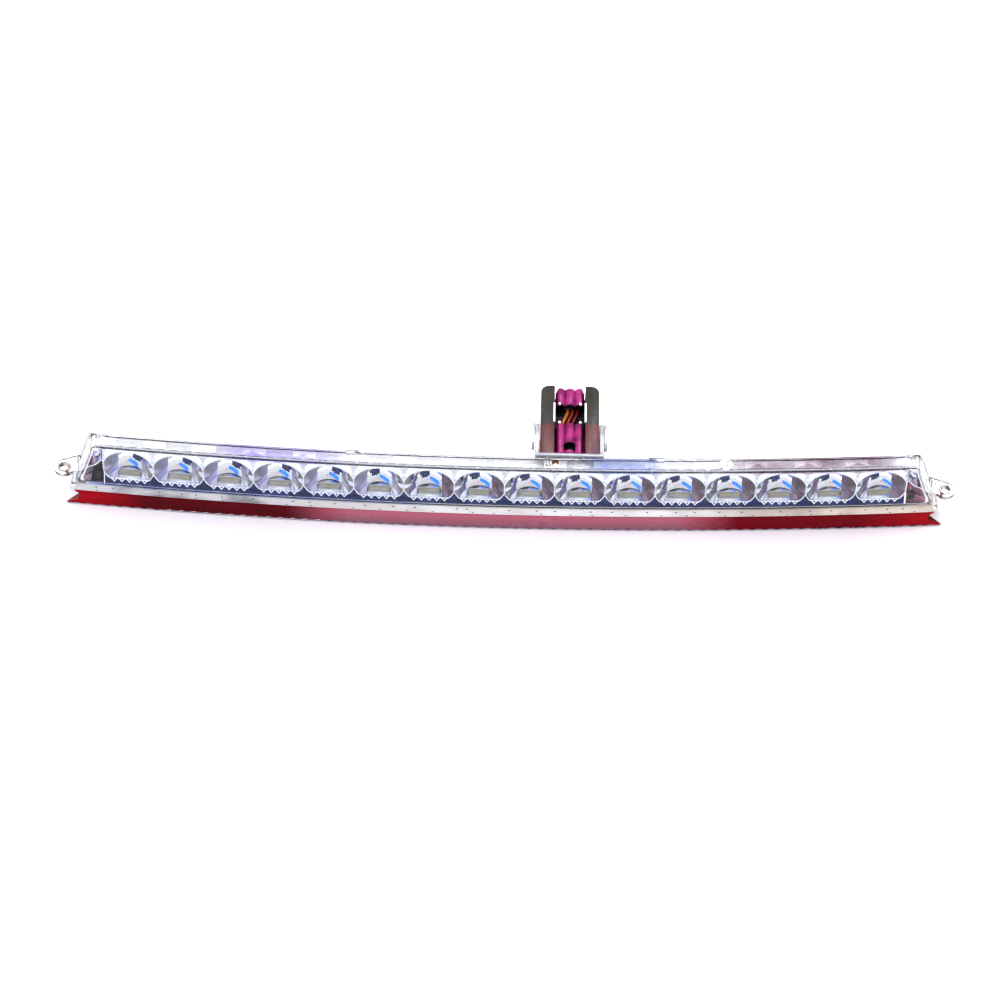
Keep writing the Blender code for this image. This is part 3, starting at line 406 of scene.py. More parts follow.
def smokyPolycarbonate():  # translucent grey-brown, warmer towards the lamp
    made, tree, shader = newMaterial("smokyPolycarbonate", {
        "IOR": 1.586, "Transmission Weight": 0.15, "Specular IOR Level": 0.4,
    })
    streak = cloudMarks(tree, 3, 3.0, (1, 0.25, 1))
    near = twoShades(tree, streak, "#7A3A2C", "#5C2A34")
    far = twoShades(tree, streak, "#4C463C", "#39342F")
    setSockets(tree, shader, {"Base Color": shadeAlong(tree, "Y", 3.0, 3.6, near, far)})
    polish(tree, shader, streak, 0.22, 0.34)
    return made


def platedMetal(name, colour, roughness):  # plated or tinned metal, mottled a little
    made, tree, shader = newMaterial(name, {"Base Color": colour, "Metallic": 1.0})
    polish(tree, shader, cloudMarks(tree, 2.0, 3.0), roughness * 0.7, roughness * 1.4)
    return made


def boardLaminate():  # FR4 under dark green solder mask, with copper runs showing through as a lighter grid
    made, tree, shader = newMaterial("boardLaminate", {"IOR": 1.54, "Roughness": 0.35, "Coat Weight": 0.3})
    runs = addNode(tree, "ShaderNodeTexBrick", {
        "Vector": addNode(tree, "ShaderNodeTexCoord").outputs["Object"], "Scale": 1.0,
        "Color1": (1, 1, 1, 1), "Color2": (1, 1, 1, 1), "Mortar": (0, 0, 0, 1),
        "Mortar Size": 0.4 * mm, "Brick Width": 11 * mm, "Row Height": 3 * mm,
    })
    mask = addNode(tree, "ShaderNodeMix", {"Factor": runs, "A": "#0F3A24", "B": "#1E5A38"}, data_type="RGBA")
    setSockets(tree, shader, {"Base Color": mask})
    return made


def ventFabric():  # white porous film, its pinholes drawn coarse enough to show
    made, tree, shader = newMaterial("ventFabric", {"Roughness": 0.75})
    cells = addNode(tree, "ShaderNodeTexVoronoi", {
        "Vector": addNode(tree, "ShaderNodeTexCoord").outputs["Object"], "Scale": 1 / (1.5 * mm), "Randomness": 0.5,
    })
    setSockets(tree, shader, {"Base Color": twoShades(tree, cells, "#3A3A3A", "#E6E5E2", 0.2, 0.32)})
    return made


looks = {
    "clear": clearPolycarbonate(),
    "cover": coverPolycarbonate(),
    "frosted": frostedPolycarbonate(),
    "red": redAcrylic(),
    "cream": creamPlastic(),
    "mirror": metalising("mirrorMetalising", "#E9EBEF", 0.02, 0.06, 0.012),
    # the tinted metalisings below are the one mirror coat with painted reflections in their colours
    "satin": metalising("lilacReflectionMetal", "#DDD6E4", 0.3, 0.36, 0.004),
    "dusk": metalising("mauveReflectionMetal", "#A28C9A", 0.26, 0.34, 0.004),
    "bezel": metalising("navyReflectionMetal", "#2C3862", 0.05, 0.12, 0.03),
    "plum": metalising("plumReflectionMetal", "#2A0E1C", 0.08, 0.16, 0.02),
    "rust": metalising("pinkReflectionMetal", "#A8727C", 0.2, 0.3, 0.02),
    "moulding": backMoulding(),
    # the LED's white is also the painted highlights at the lens foot and at the wire window
    "ceramic": mouldedPlastic("ledCeramic", "#FBF9F2", "#F0EBDC", 0.35, ior=1.6),
    # a faint painted glow lifts the phosphor out of the shade of its opening
    "phosphor": mouldedPlastic("ledPhosphor", "#F2EED8", "#DAD6B8", 0.45, more={
        "Emission Color": "#E9E4C4", "Emission Strength": 0.12,
    }),
    "black": mouldedPlastic("epoxyBlack", "#0E0E10", "#171719", 0.4),
    "steel": platedMetal("platedSteel", "#C8C2B6", 0.28),
    "tin": platedMetal("tinnedBrass", "#CBC3AC", 0.25),
    "film": mouldedPlastic("ribbonFilm", "#B9701C", "#9A5A14", 0.35),
    "board": boardLaminate(),
    "vent": ventFabric(),
    "smoky": smokyPolycarbonate(),
    "pink": mouldedPlastic("pinkNylon", "#AE3A80", "#7C1E58", 0.3, ior=1.53),
    # this black is also painted shade in the plug's catch hole and window
    "rubber": mouldedPlastic("blackRubber", "#0A0A0C", "#121215", 0.55, ior=1.52),
    "yellow": mouldedPlastic("yellowLead", "#B47434", "#8A5220", 0.35),
    "orange": mouldedPlastic("orangeLead", "#84301A", "#662010", 0.35),
    "redWire": mouldedPlastic("redLead", "#6E1018", "#540A12", 0.35),
    # this dark is also the painted shade marks at the right of the lens foot
    "seam": mouldedPlastic("darkSeam", "#1C2438", "#232C44", 0.4),
}
print("materials made:", len(looks))


def newTree(name, inputs):
    tree = bpy.data.node_groups.new(name, "GeometryNodeTree")
    tree.interface.new_socket("Geometry", in_out="INPUT", socket_type="NodeSocketGeometry")
    for label, kind, value in inputs:
        socket = tree.interface.new_socket(label, in_out="INPUT", socket_type=f"NodeSocket{kind}")
        if value is not None:
            socket.default_value = value
    tree.interface.new_socket("Geometry", in_out="OUTPUT", socket_type="NodeSocketGeometry")
    return tree, addNode(tree, "NodeGroupInput").outputs


def bowedRowTree():  # copies the piece's own mesh along the bowed bar, each turned with the bow
    tree, given = newTree("bowedRow", [
        ("Count", "Int", 16), ("Pitch", "Float", 0.024), ("Depth", "Float", 0.0), ("Level", "Float", 0.0),
        ("Bow Radius", "Float", 2.47), ("Jitter", "Float", 0.0), ("Seed", "Int", 1), ("Middle", "Float", 0.0),
        ("Material", "Material", None),
    ])
    radius = given["Bow Radius"]
    last = addNode(tree, "ShaderNodeMath", {0: given["Count"], 1: 1.0}, operation="SUBTRACT")
    half = addNode(tree, "ShaderNodeMath", {0: last, 1: 0.5}, operation="MULTIPLY")
    number = addNode(tree, "GeometryNodeInputIndex")
    steps = addNode(tree, "ShaderNodeMath", {0: number, 1: half}, operation="SUBTRACT")
    even = addNode(tree, "ShaderNodeMath", {0: steps, 1: given["Pitch"]}, operation="MULTIPLY")
    shake = addNode(tree, "FunctionNodeRandomValue", {"Min": -1.0, "Max": 1.0, "Seed": given["Seed"]},
                    data_type="FLOAT")
    offset = addNode(tree, "ShaderNodeMath", {0: shake, 1: given["Jitter"]}, operation="MULTIPLY")
    along = addNode(tree, "ShaderNodeMath", {0: even, 1: offset}, operation="ADD")
    x = addNode(tree, "ShaderNodeMath", {0: along, 1: given["Middle"]}, operation="ADD")
    radiusSquared = addNode(tree, "ShaderNodeMath", {0: radius, 1: radius}, operation="MULTIPLY")
    xSquared = addNode(tree, "ShaderNodeMath", {0: x, 1: x}, operation="MULTIPLY")
    inside = addNode(tree, "ShaderNodeMath", {0: radiusSquared, 1: xSquared}, operation="SUBTRACT")
    chord = addNode(tree, "ShaderNodeMath", {0: inside}, operation="SQRT")
    back = addNode(tree, "ShaderNodeMath", {0: radius, 1: chord}, operation="SUBTRACT")
    depth = addNode(tree, "ShaderNodeMath", {0: back, 1: given["Depth"]}, operation="ADD")
    where = addNode(tree, "ShaderNodeCombineXYZ", {"X": x, "Y": depth, "Z": given["Level"]})
    slope = addNode(tree, "ShaderNodeMath", {0: x, 1: radius}, operation="DIVIDE")
    turn = addNode(tree, "ShaderNodeMath", {0: slope}, operation="ARCSINE")
    points = addNode(tree, "GeometryNodePoints", {"Count": given["Count"], "Position": where})
    copies = addNode(tree, "GeometryNodeInstanceOnPoints", {
        "Points": points, "Instance": given["Geometry"], "Rotation": addNode(tree, "ShaderNodeCombineXYZ", {"Z": turn}),
    })
    real = addNode(tree, "GeometryNodeRealizeInstances", {"Geometry": copies})
    index = addNode(tree, "GeometryNodeInputMaterialIndex")
    main = addNode(tree, "FunctionNodeCompare", {"A": index, "B": 0}, data_type="INT", operation="EQUAL")
    painted = addNode(tree, "GeometryNodeSetMaterial", {  # a second finish on the piece stays as it is
        "Geometry": real, "Selection": main, "Material": given["Material"],
    })
    addNode(tree, "NodeGroupOutput", {"Geometry": painted})
    return tree


def beadTree():  # runs a round bead along the piece's edges
    tree, given = newTree("bead", [("Radius", "Float", 0.0004), ("Sides", "Int", 10), ("Material", "Material", None)])
    path = addNode(tree, "GeometryNodeMeshToCurve", {"Mesh": given["Geometry"]})
    ring = addNode(tree, "GeometryNodeCurvePrimitiveCircle", {
        "Resolution": given["Sides"], "Radius": given["Radius"],
    })
    tube = addNode(tree, "GeometryNodeCurveToMesh", {"Curve": path, "Profile Curve": ring, "Fill Caps": True})
    smooth = addNode(tree, "GeometryNodeSetShadeSmooth", {"Geometry": tube, "Shade Smooth": True})
    real = addNode(tree, "GeometryNodeRealizeInstances", {"Geometry": smooth})
    painted = addNode(tree, "GeometryNodeSetMaterial", {"Geometry": real, "Material": given["Material"]})
    addNode(tree, "NodeGroupOutput", {"Geometry": painted})
    return tree


rowTree = bowedRowTree()
tubeTree = beadTree()


def useTree(thing, tree, **values):
    change = thing.modifiers.new(tree.name, "NODES")
    change.node_group = tree
    for item in tree.interface.items_tree:
        key = item.name.replace(" ", "")
        if item.in_out == "INPUT" and key in values:
            change[item.identifier] = values[key]
    return change


def spread(thing, count, pitch, depth, level, sharp=35.0, **more):
    useTree(
        thing, rowTree, Count=count, Pitch=pitch * mm, Depth=(lamp["front"] + depth) * mm, Level=level * mm,
        BowRadius=lamp["bowRadius"] * mm, Material=thing.data.materials[0], **more,
    )
    return settle(thing, sharp)


def roundedBlock(bm, low, high, radius, segments=2, at=None, material=0):
    made = bmesh.ops.create_cube(bm, size=1.0)["verts"]
    size = [b - a for a, b in zip(low, high)]
    middle = [(a + b) / 2 for a, b in zip(low, high)]
    if at is not None:
        middle[1] += lamp["front"] + bow(at)
    for vert in made:
        vert.co = Vector([m + v * s for m, v, s in zip(middle, vert.co, size)])
    edges = list({edge for vert in made for edge in vert.link_edges})
    for face in {face for vert in made for face in vert.link_faces}:
        face.material_index = material
    bmesh.ops.bevel(bm, geom=edges, offset=radius, segments=segments, profile=0.5, affect="EDGES",
                    clamp_overlap=True)


# the mirror is one moulding of sixteen bowls, each with a curved middle and a flat at either side
cups = {
    "looks": ("mirror", "satin", "moulding", "dusk", "bezel", "plum", "rust"),
    "count": 16,
    "pitch": 24.0,
    "mouth": 12.4,  # radius at the panel's face
    "depth": 12.5,
    "power": 0.7,  # 0.5 is an ellipse, and 1 a parabola
    "level": lamp["panelBottom"] + 4.4 + 8.0,  # the bowls' middle line, above the foot and the shelf
    "shelfDrop": 8.0,
    "middleHalf": 5.8,  # half the curved middle, which is also half an LED opening
    "flatDepth": 8.9,
    "openFront": 2.2,
    "openBack": 6.3,
    "rimWidth": 0.6,
    "pocketFloor": 16.1,
    "pocketSlope": 0.95,
    "pocketEase": (0.12, 3.5, 4.5),  # slope at the middle of a bowl, and where and over what it steepens
    "pocketDeep": 3.2,
    "brow": 0.35,  # slope of the panel above the cusps
    "wall": 1.0,
    "shelfWall": 1.2,
    "blobAt": [3.2] * 5 + [-2.2] * 11,  # a painted dark reflection high in each bowl
    "blobUp": -3.3,
    "blobSize": (2.3, 2.5),
    "rimBead": 0.4,
    "swagReach": 9.2,
    "swagDrop": 2.3,
    "swags": 5,  # across each bowl
    "swagPoints": 61,
    "swagSink": 0.12,
    "rimSink": 0.14,
    "flatColumns": 9,
    "middleColumns": 13,
    "bandRows": (5, 13, 9),
    "flatLeft": ["satin"] * 6 + ["mirror"] * 10,  # each bowl's left flat, then its right one, the mirror or a painted reflection
    "flatRight": ["mirror"] * 6 + ["dusk"] * 10,
}
cupHalf = cups["pitch"] / 2


def bowlDepth(radiusSquared):
    return cups["depth"] * max(0.0, 1 - radiusSquared / cups["mouth"] ** 2) ** cups["power"]


def flatAt(across):  # depth of the flat at a side of a bowl
    return cups["flatDepth"] * (cups["mouth"] - across) / (cups["mouth"] - cups["middleHalf"])


def creaseAt(across):  # height above and below the middle where the flat meets the bowl
    flat = flatAt(max(across, cups["middleHalf"]))
    radiusSquared = cups["mouth"] ** 2 * (1 - (flat / cups["depth"]) ** (1 / cups["power"]))
    return math.sqrt(max(0.01, radiusSquared - max(across, cups["middleHalf"]) ** 2))


def cupDepth(across, up, side):
    depth = bowlDepth(across * across + up * up)
    return min(depth, flatAt(across)) if side else depth


# the mirror's front and back as (depth, z) up one column, where two close points keep a fold crisp
def cupColumn(across, side):
    half = math.sqrt(cups["mouth"] ** 2 - across * across)
    low, crease = -min(cups["shelfDrop"], half), creaseAt(across)
    first, second, third = cups["bandRows"]
    ups = [low + (-crease - low) * k / first for k in range(first)]
    ups += [-crease + 2 * crease * k / second for k in range(second)]
    ups += [crease + (half - crease) * math.sin(math.pi / 2 * k / third) for k in range(third)] + [half]
    foot, roof = cups["level"] + low, cups["level"] + half
    shallow, start, reach = cups["pocketEase"]
    slope = shallow + (cups["pocketSlope"] - shallow) * ease((across - start) / reach)
    pocket = min(cups["pocketDeep"], slope * (foot - cups["rimWidth"] - cups["pocketFloor"]))
    deep = cupDepth(across, low, side)
    shelf = [min(cups["openFront"], deep * 0.35), min(cups["openBack"], deep * 0.96)]
    top = lamp["panelTop"]
    rim = min(cups["rimWidth"], 0.4 * (top - roof))
    brow = cups["brow"] * max(0.0, top - roof - rim - 0.3)
    front = [(0, lamp["panelBottom"]), (0, cups["pocketFloor"]), (pocket, foot - cups["rimWidth"])]
    front += [(0, foot - cups["rimWidth"] + 0.06), (0, foot), (shelf[0], foot), (shelf[1], foot)]
    front += [(0.0 if up == half else cupDepth(across, up, side), cups["level"] + up) for up in ups]
    front += [(0, roof + rim), (0.02, roof + rim + 0.04), (brow, top - 0.2), (0, top - 0.15), (0, top)]

    wall, under = cups["wall"], foot - cups["shelfWall"]
    solid = max(pocket, 0) + wall
    back = [(wall, lamp["panelBottom"]), (wall + 0.3, cups["pocketFloor"] - 0.3), (solid, under - 0.2)]
    back += [(solid, under - 0.1), (solid, under), (max(solid, shelf[0]), under), (max(solid, shelf[1]), under)]
    for up, (depth, z) in zip(ups, front[7:]):
        keep = solid * (1 - ease(up / half * 1.2))
        lift = -cups["shelfWall"] + (cups["shelfWall"] + 0.5) * (up - low) / (half - low)
        back.append((max(depth + wall, keep), z + lift))
    back += [(wall, top - 0.25), (wall, top - 0.2), (wall + brow, top - 0.15), (wall + brow, top - 0.1), (wall, top)]
    return front, back


def cupColumns():
    half, count = cups["middleHalf"], cups["flatColumns"]
    flats = [cupHalf - (cupHalf - half) * k / count for k in range(count + 1)]
    columns = [(-a, True) for a in flats] + [(a, False) for a in span(-half, half, cups["middleColumns"])]
    return columns + [(a, True) for a in reversed(flats)]


endPanel = {
    "columns": 26,
    "facetTop": 33.0,
    "facetDeep": 5.2,
    "border": 0.9,
    "shards": 60,
    # the small facets get the mirror or a painted reflection each
    "shardLooks": ("mirror", "bezel", "mirror", "dusk", "bezel", "mirror", "satin", "plum"),
    "plumShare": 0.6,  # how far out the left facet is painted with the plum reflection
    "fall": 7.0,  # the facet's upper edge drops this much towards the end
    "tilt": 0.8,
    "seed": 11,
}


def endShards():
    chance = random.Random(endPanel["seed"])
    made = []
    for _ in range(endPanel["shards"]):
        x, z = chance.uniform(cupHalf * 16, 206), chance.uniform(endPanel["facetTop"] - 1, lamp["panelTop"])
        made.append((x, z, chance.uniform(-1, 1) * endPanel["tilt"], chance.uniform(-1, 1) * endPanel["tilt"]))
    return made


shards = endShards()


def endDepth(x, z, part):  # a sloping facet below and a field of small tilted facets above
    edge = min(z - lamp["panelBottom"], lamp["panelTop"] - z, (1 - part) * 12)
    if edge < endPanel["border"] or part < 0.04:
        return 0.0
    divide = endPanel["facetTop"] - endPanel["fall"] * part
    if z < divide - 0.5:
        return endPanel["facetDeep"] * (1.05 - part) * min(1.0, (z - lamp["panelBottom"]) / 3)
    if z < divide:
        return 0.1
    sx, sz, a, b = min(shards, key=lambda s: (s[0] - x) ** 2 + (s[1] - z) ** 2)
    return max(0.15, 1.1 + a * (x - sx) + b * (z - sz))


def makeMirror():
    bm = bmesh.new()
    fronts, backs, sides = [], [], []
    plane = lamp["mirrorPlane"]
    half = cups["count"] * cupHalf
    edgeFront, edgeBack = cupColumn(cupHalf, True)
    count = len(edgeFront)
    slot = {name: k for k, name in enumerate(cups["looks"])}
    even = span(lamp["panelBottom"], lamp["panelTop"], count)

    def inDarkReflection(c, k):
        cup = cupOf[c]
        across = (fronts[c][k].co.x + fronts[c + 1][k].co.x) / 2 - (cup - (cups["count"] - 1) / 2) * cups["pitch"]
        up = (fronts[c][k].co.z + fronts[c][k + 1].co.z) / 2 - cups["level"]
        a, b = cups["blobSize"]
        return ((across - cups["blobAt"][cup]) / a) ** 2 + ((up - cups["blobUp"]) / b) ** 2 < 1

    def endFace(one, two):  # each end's sloping facet and small facets get painted reflections of their own
        x, z = abs(one.x + two.x) / 2, (one.z + two.z) / 2
        part = (x - half) / max(1.0, endX(z, lamp["coverWall"] + lamp["gap"]) - half)
        inside = 0.06 < part < 1 - endPanel["border"] / 12 and lamp["panelBottom"] + endPanel["border"] < z
        if not inside:
            return slot["mirror"]
        if z > endPanel["facetTop"] - endPanel["fall"] * part:
            near = min(range(len(shards)), key=lambda n: (shards[n][0] - x) ** 2 + (shards[n][1] - z) ** 2)
            return slot[endPanel["shardLooks"][near % len(endPanel["shardLooks"])]]
        if one.x > 0:
            return slot["rust"]
        return slot["plum" if part < endPanel["plumShare"] else "dusk"]

    def addEnd(side, parts):
        for part in parts:
            share = ease(part * 3)
            front, back = [], []
            for k in range(count):
                z = edgeFront[k][1] * (1 - share) + even[k] * share
                x = half + part * (endX(z, lamp["coverWall"] + lamp["gap"]) - half)
                depth = edgeFront[k][0] * (1 - share) + endDepth(x, z, part) * share
                front.append(place(side * x, plane + depth, z))
                rear = edgeBack[k][0] * (1 - share) + (endPanel["facetDeep"] + 1.4) * share * min(1.0, (1 - part) * 6)
                back.append(place(side * x, plane + max(rear, depth + 0.6), z))
            fronts.append([bm.verts.new(p) for p in front])
            backs.append([bm.verts.new(p) for p in back])
            sides.append("end")

    parts = span(0.0, 1.0, endPanel["columns"])
    addEnd(-1, reversed(parts))
    columns = cupColumns()
    flatSlot, cupOf = {}, {}
    for cup in range(cups["count"]):
        middle = (cup - (cups["count"] - 1) / 2) * cups["pitch"]
        for k, (across, side) in enumerate(columns):
            front, back = cupColumn(abs(across), side)
            fronts.append([bm.verts.new(place(middle + across, plane + d, z)) for d, z in front])
            backs.append([bm.verts.new(place(middle + across, plane + d, z)) for d, z in back])
            sides.append(side)
            cupOf[len(sides) - 1] = cup
            flatSlot[len(sides) - 1] = slot[cups["flatLeft" if across < 0 else "flatRight"][cup]]
    addEnd(1, parts)

    flatRows = range(7, 7 + cups["bandRows"][0] + cups["bandRows"][1])
    openings = []
    for c in range(len(fronts) - 1):
        for k in range(count - 1):
            if k == 5 and sides[c] is False and sides[c + 1] is False:  # an LED shines up through here
                openings.append(c)
                continue
            face = slot["mirror"]
            # a painted dark reflection high in each bowl
            if k >= 7 and sides[c] is False and sides[c + 1] is False and inDarkReflection(c, k):
                face = slot["bezel"]
            elif k in flatRows and sides[c] is True and sides[c + 1] is True:
                face = flatSlot[c]
            # the pocket below each bowl is painted with the dark navy reflection
            elif k == 1 and sides[c] != "end" and sides[c + 1] != "end":
                face = slot["bezel"]
            elif sides[c] == "end" and sides[c + 1] == "end":
                face = endFace(fronts[c][k].co, fronts[c + 1][k + 1].co)
            for rows, material in ((fronts, face), (backs, slot["moulding"])):
                quad = (rows[c][k], rows[c][k + 1], rows[c + 1][k + 1], rows[c + 1][k])
                bm.faces.new(quad if rows is fronts else quad[::-1]).material_index = material

    def wallAcross(c, k):  # joins front to back between two columns
        face = bm.faces.new((fronts[c][k], fronts[c + 1][k], backs[c + 1][k], backs[c][k]))
        face.material_index = slot["moulding"]

    def wallUp(c, k):  # joins front to back between two rows
        face = bm.faces.new((fronts[c][k], fronts[c][k + 1], backs[c][k + 1], backs[c][k]))
        face.material_index = slot["moulding"]

    for c in range(len(fronts) - 1):
        for k in (0, count - 1):
            wallAcross(c, k)
    for c in (0, len(fronts) - 1):
        for k in range(count - 1):
            wallUp(c, k)
    opened = set(openings)
    for c in openings:
        for k in (5, 6):
            wallAcross(c, k)
        for edge in (c, c + 1):
            if (c - 1 if edge == c else c + 1) not in opened:
                wallUp(edge, 5)
    mirror = makeObject("mirrorBowls", bm, [looks[name] for name in cups["looks"]], 32.0, 1e-3)
    return finishPiece(mirror, "lamp", "vacuum_metalised", "reflector")


def makeRims():  # a bright rolled bead round the mouth of every bowl, and the swags below it
    reach, drop = cups["mouth"], cups["shelfDrop"]
    side = math.degrees(math.asin(math.sqrt(reach ** 2 - cupHalf ** 2) / reach))
    lip = math.degrees(math.asin(drop / reach))

    def arc(first, last, count):
        turns = [math.radians(a) for a in span(first, last, count)]
        return [(reach * math.cos(a), reach * math.sin(a)) for a in turns]

    lower = arc(180 + side, 180 + lip, 9)
    foot = 0.9 * math.sqrt(reach ** 2 - drop ** 2)
    points = arc(side, 180 - side, 41) + [(-cupHalf, z) for z in (1.5, 0.0, -1.5)] + lower
    points += [(x, -drop) for x in span(-foot, foot, 9)] + [(-x, z) for x, z in reversed(lower)]
    points += [(cupHalf, z) for z in (-1.5, 0.0, 1.5)]
    bm = bmesh.new()
    edgeChain(bm, [(x, cups["rimSink"], z) for x, z in points], True)
    swags = []
    for t in span(-1, 1, cups["swagPoints"]):
        sag = cups["swagDrop"] * (1 - abs(math.sin(cups["swags"] / 2 * math.pi * t)))
        swags.append((t * cups["swagReach"], cups["swagSink"], -drop - sag))
    edgeChain(bm, swags)
    rims = makeObject("mirrorRims", bm, merge=0, sharp=0)
    useTree(
        rims, rowTree, Count=cups["count"], Pitch=cups["pitch"] * mm,
        Depth=(lamp["front"] + lamp["mirrorPlane"]) * mm, Level=cups["level"] * mm, BowRadius=lamp["bowRadius"] * mm,
        Material=looks["mirror"],
    )
    useTree(rims, tubeTree, Radius=cups["rimBead"] * mm, Sides=8, Material=looks["mirror"])
    finishPiece(settle(rims, 0), "lamp", "vacuum_metalised")


makeMirror()
makeRims()
print("mirror made:", cups["count"], "bowls")


led = {
    "size": (10.8, 3.4, 1.1),
    "dome": 0.35,
    "border": 0.55,
    "depth": 7.35,
}


def makeLeds():
    x, y, height = led["size"][0] / 2, led["size"][1] / 2, led["size"][2]
    bm = bmesh.new()
    roundedBlock(bm, (-x, -y, 0), (x, y, height), 0.15)
    inner = (x - led["border"], y - led["border"])
    roundedBlock(bm, (-inner[0], -inner[1], height - 0.3), (inner[0], inner[1], height + led["dome"]), 0.25, 3,
                 material=1)
    for side in (-1, 1):  # solder tails at the ends
        low, high = sorted((side * (x - 0.5), side * (x - 0.02)))
        roundedBlock(bm, (low, -y * 0.6, -0.02), (high, y * 0.6, 0.25), 0.05, 1, material=2)
    leds = makeObject("ledRow", bm, [looks["ceramic"], looks["phosphor"], looks["tin"]], 35, 0)
    spread(leds, cups["count"], cups["pitch"], led["depth"], lamp["boardTop"] + lamp["gap"])
    finishPiece(leds, "lamp", "led_ceramic", *[f"led_{k + 1:02d}" for k in range(cups["count"])])


screw = {"shank": 0.95, "length": 7.0, "head": 2.1, "headHeight": 1.4, "pitch": 144.0, "depth": 13.4, "thread": 0.7}


def makeScrews():  # pan heads with a crossed recess, and a thread down the shank
    head, height, shank = screw["head"], screw["headHeight"], screw["shank"]
    profile = [(0.02, -screw["length"]), (shank * 0.5, -screw["length"] + 0.3)]
    turns = int((screw["length"] - 1.2) / screw["thread"])
    for k in range(turns):
        z = -screw["length"] + 0.6 + k * screw["thread"]
        profile += [(shank * 0.72, z), (shank, z + screw["thread"] / 2)]
    profile += [(shank * 0.8, -0.2), (shank, -0.05), (head, 0.0), (head, height * 0.35)]
    profile += [(head * math.cos(a), height * 0.35 + height * 0.65 * math.sin(a)) for a in (0.35, 0.7, 1.05, 1.35)]
    profile.append((0.02, height))
    bm = bmesh.new()
    ringSolid(bm, turnedRings(profile, 20))
    for x, y in ((1.15, 0.2), (0.2, 1.15)):  # the driver recess is not cut: a black cross paints its shade
        roundedBlock(bm, (-x, -y, height - 0.35), (x, y, height + 0.01), 0.05, 1, material=1)
    screws = makeObject("boardScrews", bm, [looks["steel"], looks["black"]], merge=0)
    spread(screws, 3, screw["pitch"], screw["depth"], lamp["boardTop"] + lamp["gap"])
    finishPiece(screws, "lamp", "plated_steel", "board_screw_1", "board_screw_2", "board_screw_3")


chips = {"resistor": (6.3, 3.2, 0.9), "cap": 0.7, "steps": (-4, -2, 2, 4), "diode": (4.4, 2.6, 2.2), "depth": 13.4}


def makeChips():
    level = lamp["boardTop"] + lamp["gap"]
    x, y, z = (s / 2 for s in chips["resistor"])
    for number, step in enumerate(chips["steps"]):
        bm = bmesh.new()
        roundedBlock(bm, (-x + chips["cap"], -y, 0.05), (x - chips["cap"], y, 2 * z), 0.08)
        for side in (-1, 1):
            low, high = sorted((side * x, side * (x - chips["cap"])))
            roundedBlock(bm, (low, -y, 0), (high, y, 2 * z - 0.03), 0.12, material=1)
        where = place(step * cups["pitch"], chips["depth"], level)
        bmesh.ops.rotate(bm, verts=bm.verts, matrix=Matrix.Rotation(where.x / lamp["bowRadius"], 3, "Z"))
        bmesh.ops.translate(bm, verts=bm.verts, vec=where)
        chip = makeObject(f"boardResistor{number + 1}", bm, [looks["black"], looks["tin"]], merge=0)
        finishPiece(chip, "lamp", "epoxy_black", f"resistor_{number + 1}")
    bm = bmesh.new()
    x, y, z = (s / 2 for s in chips["diode"])
    roundedBlock(bm, (-x + 0.3, -y, 0.2), (x - 0.3, y, 2 * z), 0.25, 2)
    for side in (-1, 1):
        low, high = sorted((side * x, side * (x - 0.8)))
        roundedBlock(bm, (low, -y * 0.6, 0), (high, y * 0.6, 0.6), 0.08, 1, material=1)
    roundedBlock(bm, (x - 1.3, -y * 0.98, 2 * z - 0.05), (x - 0.8, y * 0.98, 2 * z + 0.01), 0.01, 1, material=2)
    where = place(-cups["pitch"], chips["depth"], level)
    bmesh.ops.translate(bm, verts=bm.verts, vec=where)
    diode = makeObject("boardDiode", bm, [looks["black"], looks["tin"], looks["ceramic"]], merge=0)
    finishPiece(diode, "lamp", "epoxy_black", "diode")


makeLeds()
makeScrews()
makeChips()
print("board parts made")


housing = {
    "wall": 1.8,
    "earReach": 7.0,
    "earDepth": 10.5,
    "earRadius": 4.8,
    "earLevel": 12.6,
    "earThick": 2.2,
    "earRoot": (9.7, 18.4),
    "earSink": 0.9,  # how far the ear starts inside the end wall
    "earSoften": 0.4,
    "boreOverrun": 3,
    "bush": 3.1,
    "bore": 2.2,
    "proud": 0.4,
    "stations": 61,
    "soften": 0.35,
}


def openShell(sections, stations, levels, ends):  # a bent sheet along the bar with a slanted wall at each end
    bm = bmesh.new()
    keep = {}

    def vert(x, y, z):
        key = (round(x, 3), round(y, 3), round(z, 3))
        if key not in keep:
            keep[key] = bm.verts.new(place(x, y, z))
        return keep[key]

    rows = [[vert(t * endX(z), y, z) for y, z in sections] for t in span(-1, 1, stations)]
    gridFaces(bm, rows)
    for side in (-1, 1):
        for z0, z1 in zip(levels, levels[1:]):
            loop = []
            for y, z in ends(z0, z1):
                one = vert(side * endX(z), y, z)
                if one not in loop:
                    loop.append(one)
            if len(loop) > 2:
                bm.faces.new(loop)
    return bm


def hull(points):
    ordered = sorted(set(points))

    def chain(run):
        kept = []
        for p in run:
            while len(kept) > 1:
                (ax, ay), (bx, by) = kept[-2:]
                if (bx - ax) * (p[1] - ay) - (by - ay) * (p[0] - ax) > 1e-9:
                    break
                kept.pop()
            kept.append(p)
        return kept[:-1]

    return chain(ordered) + chain(ordered[::-1])


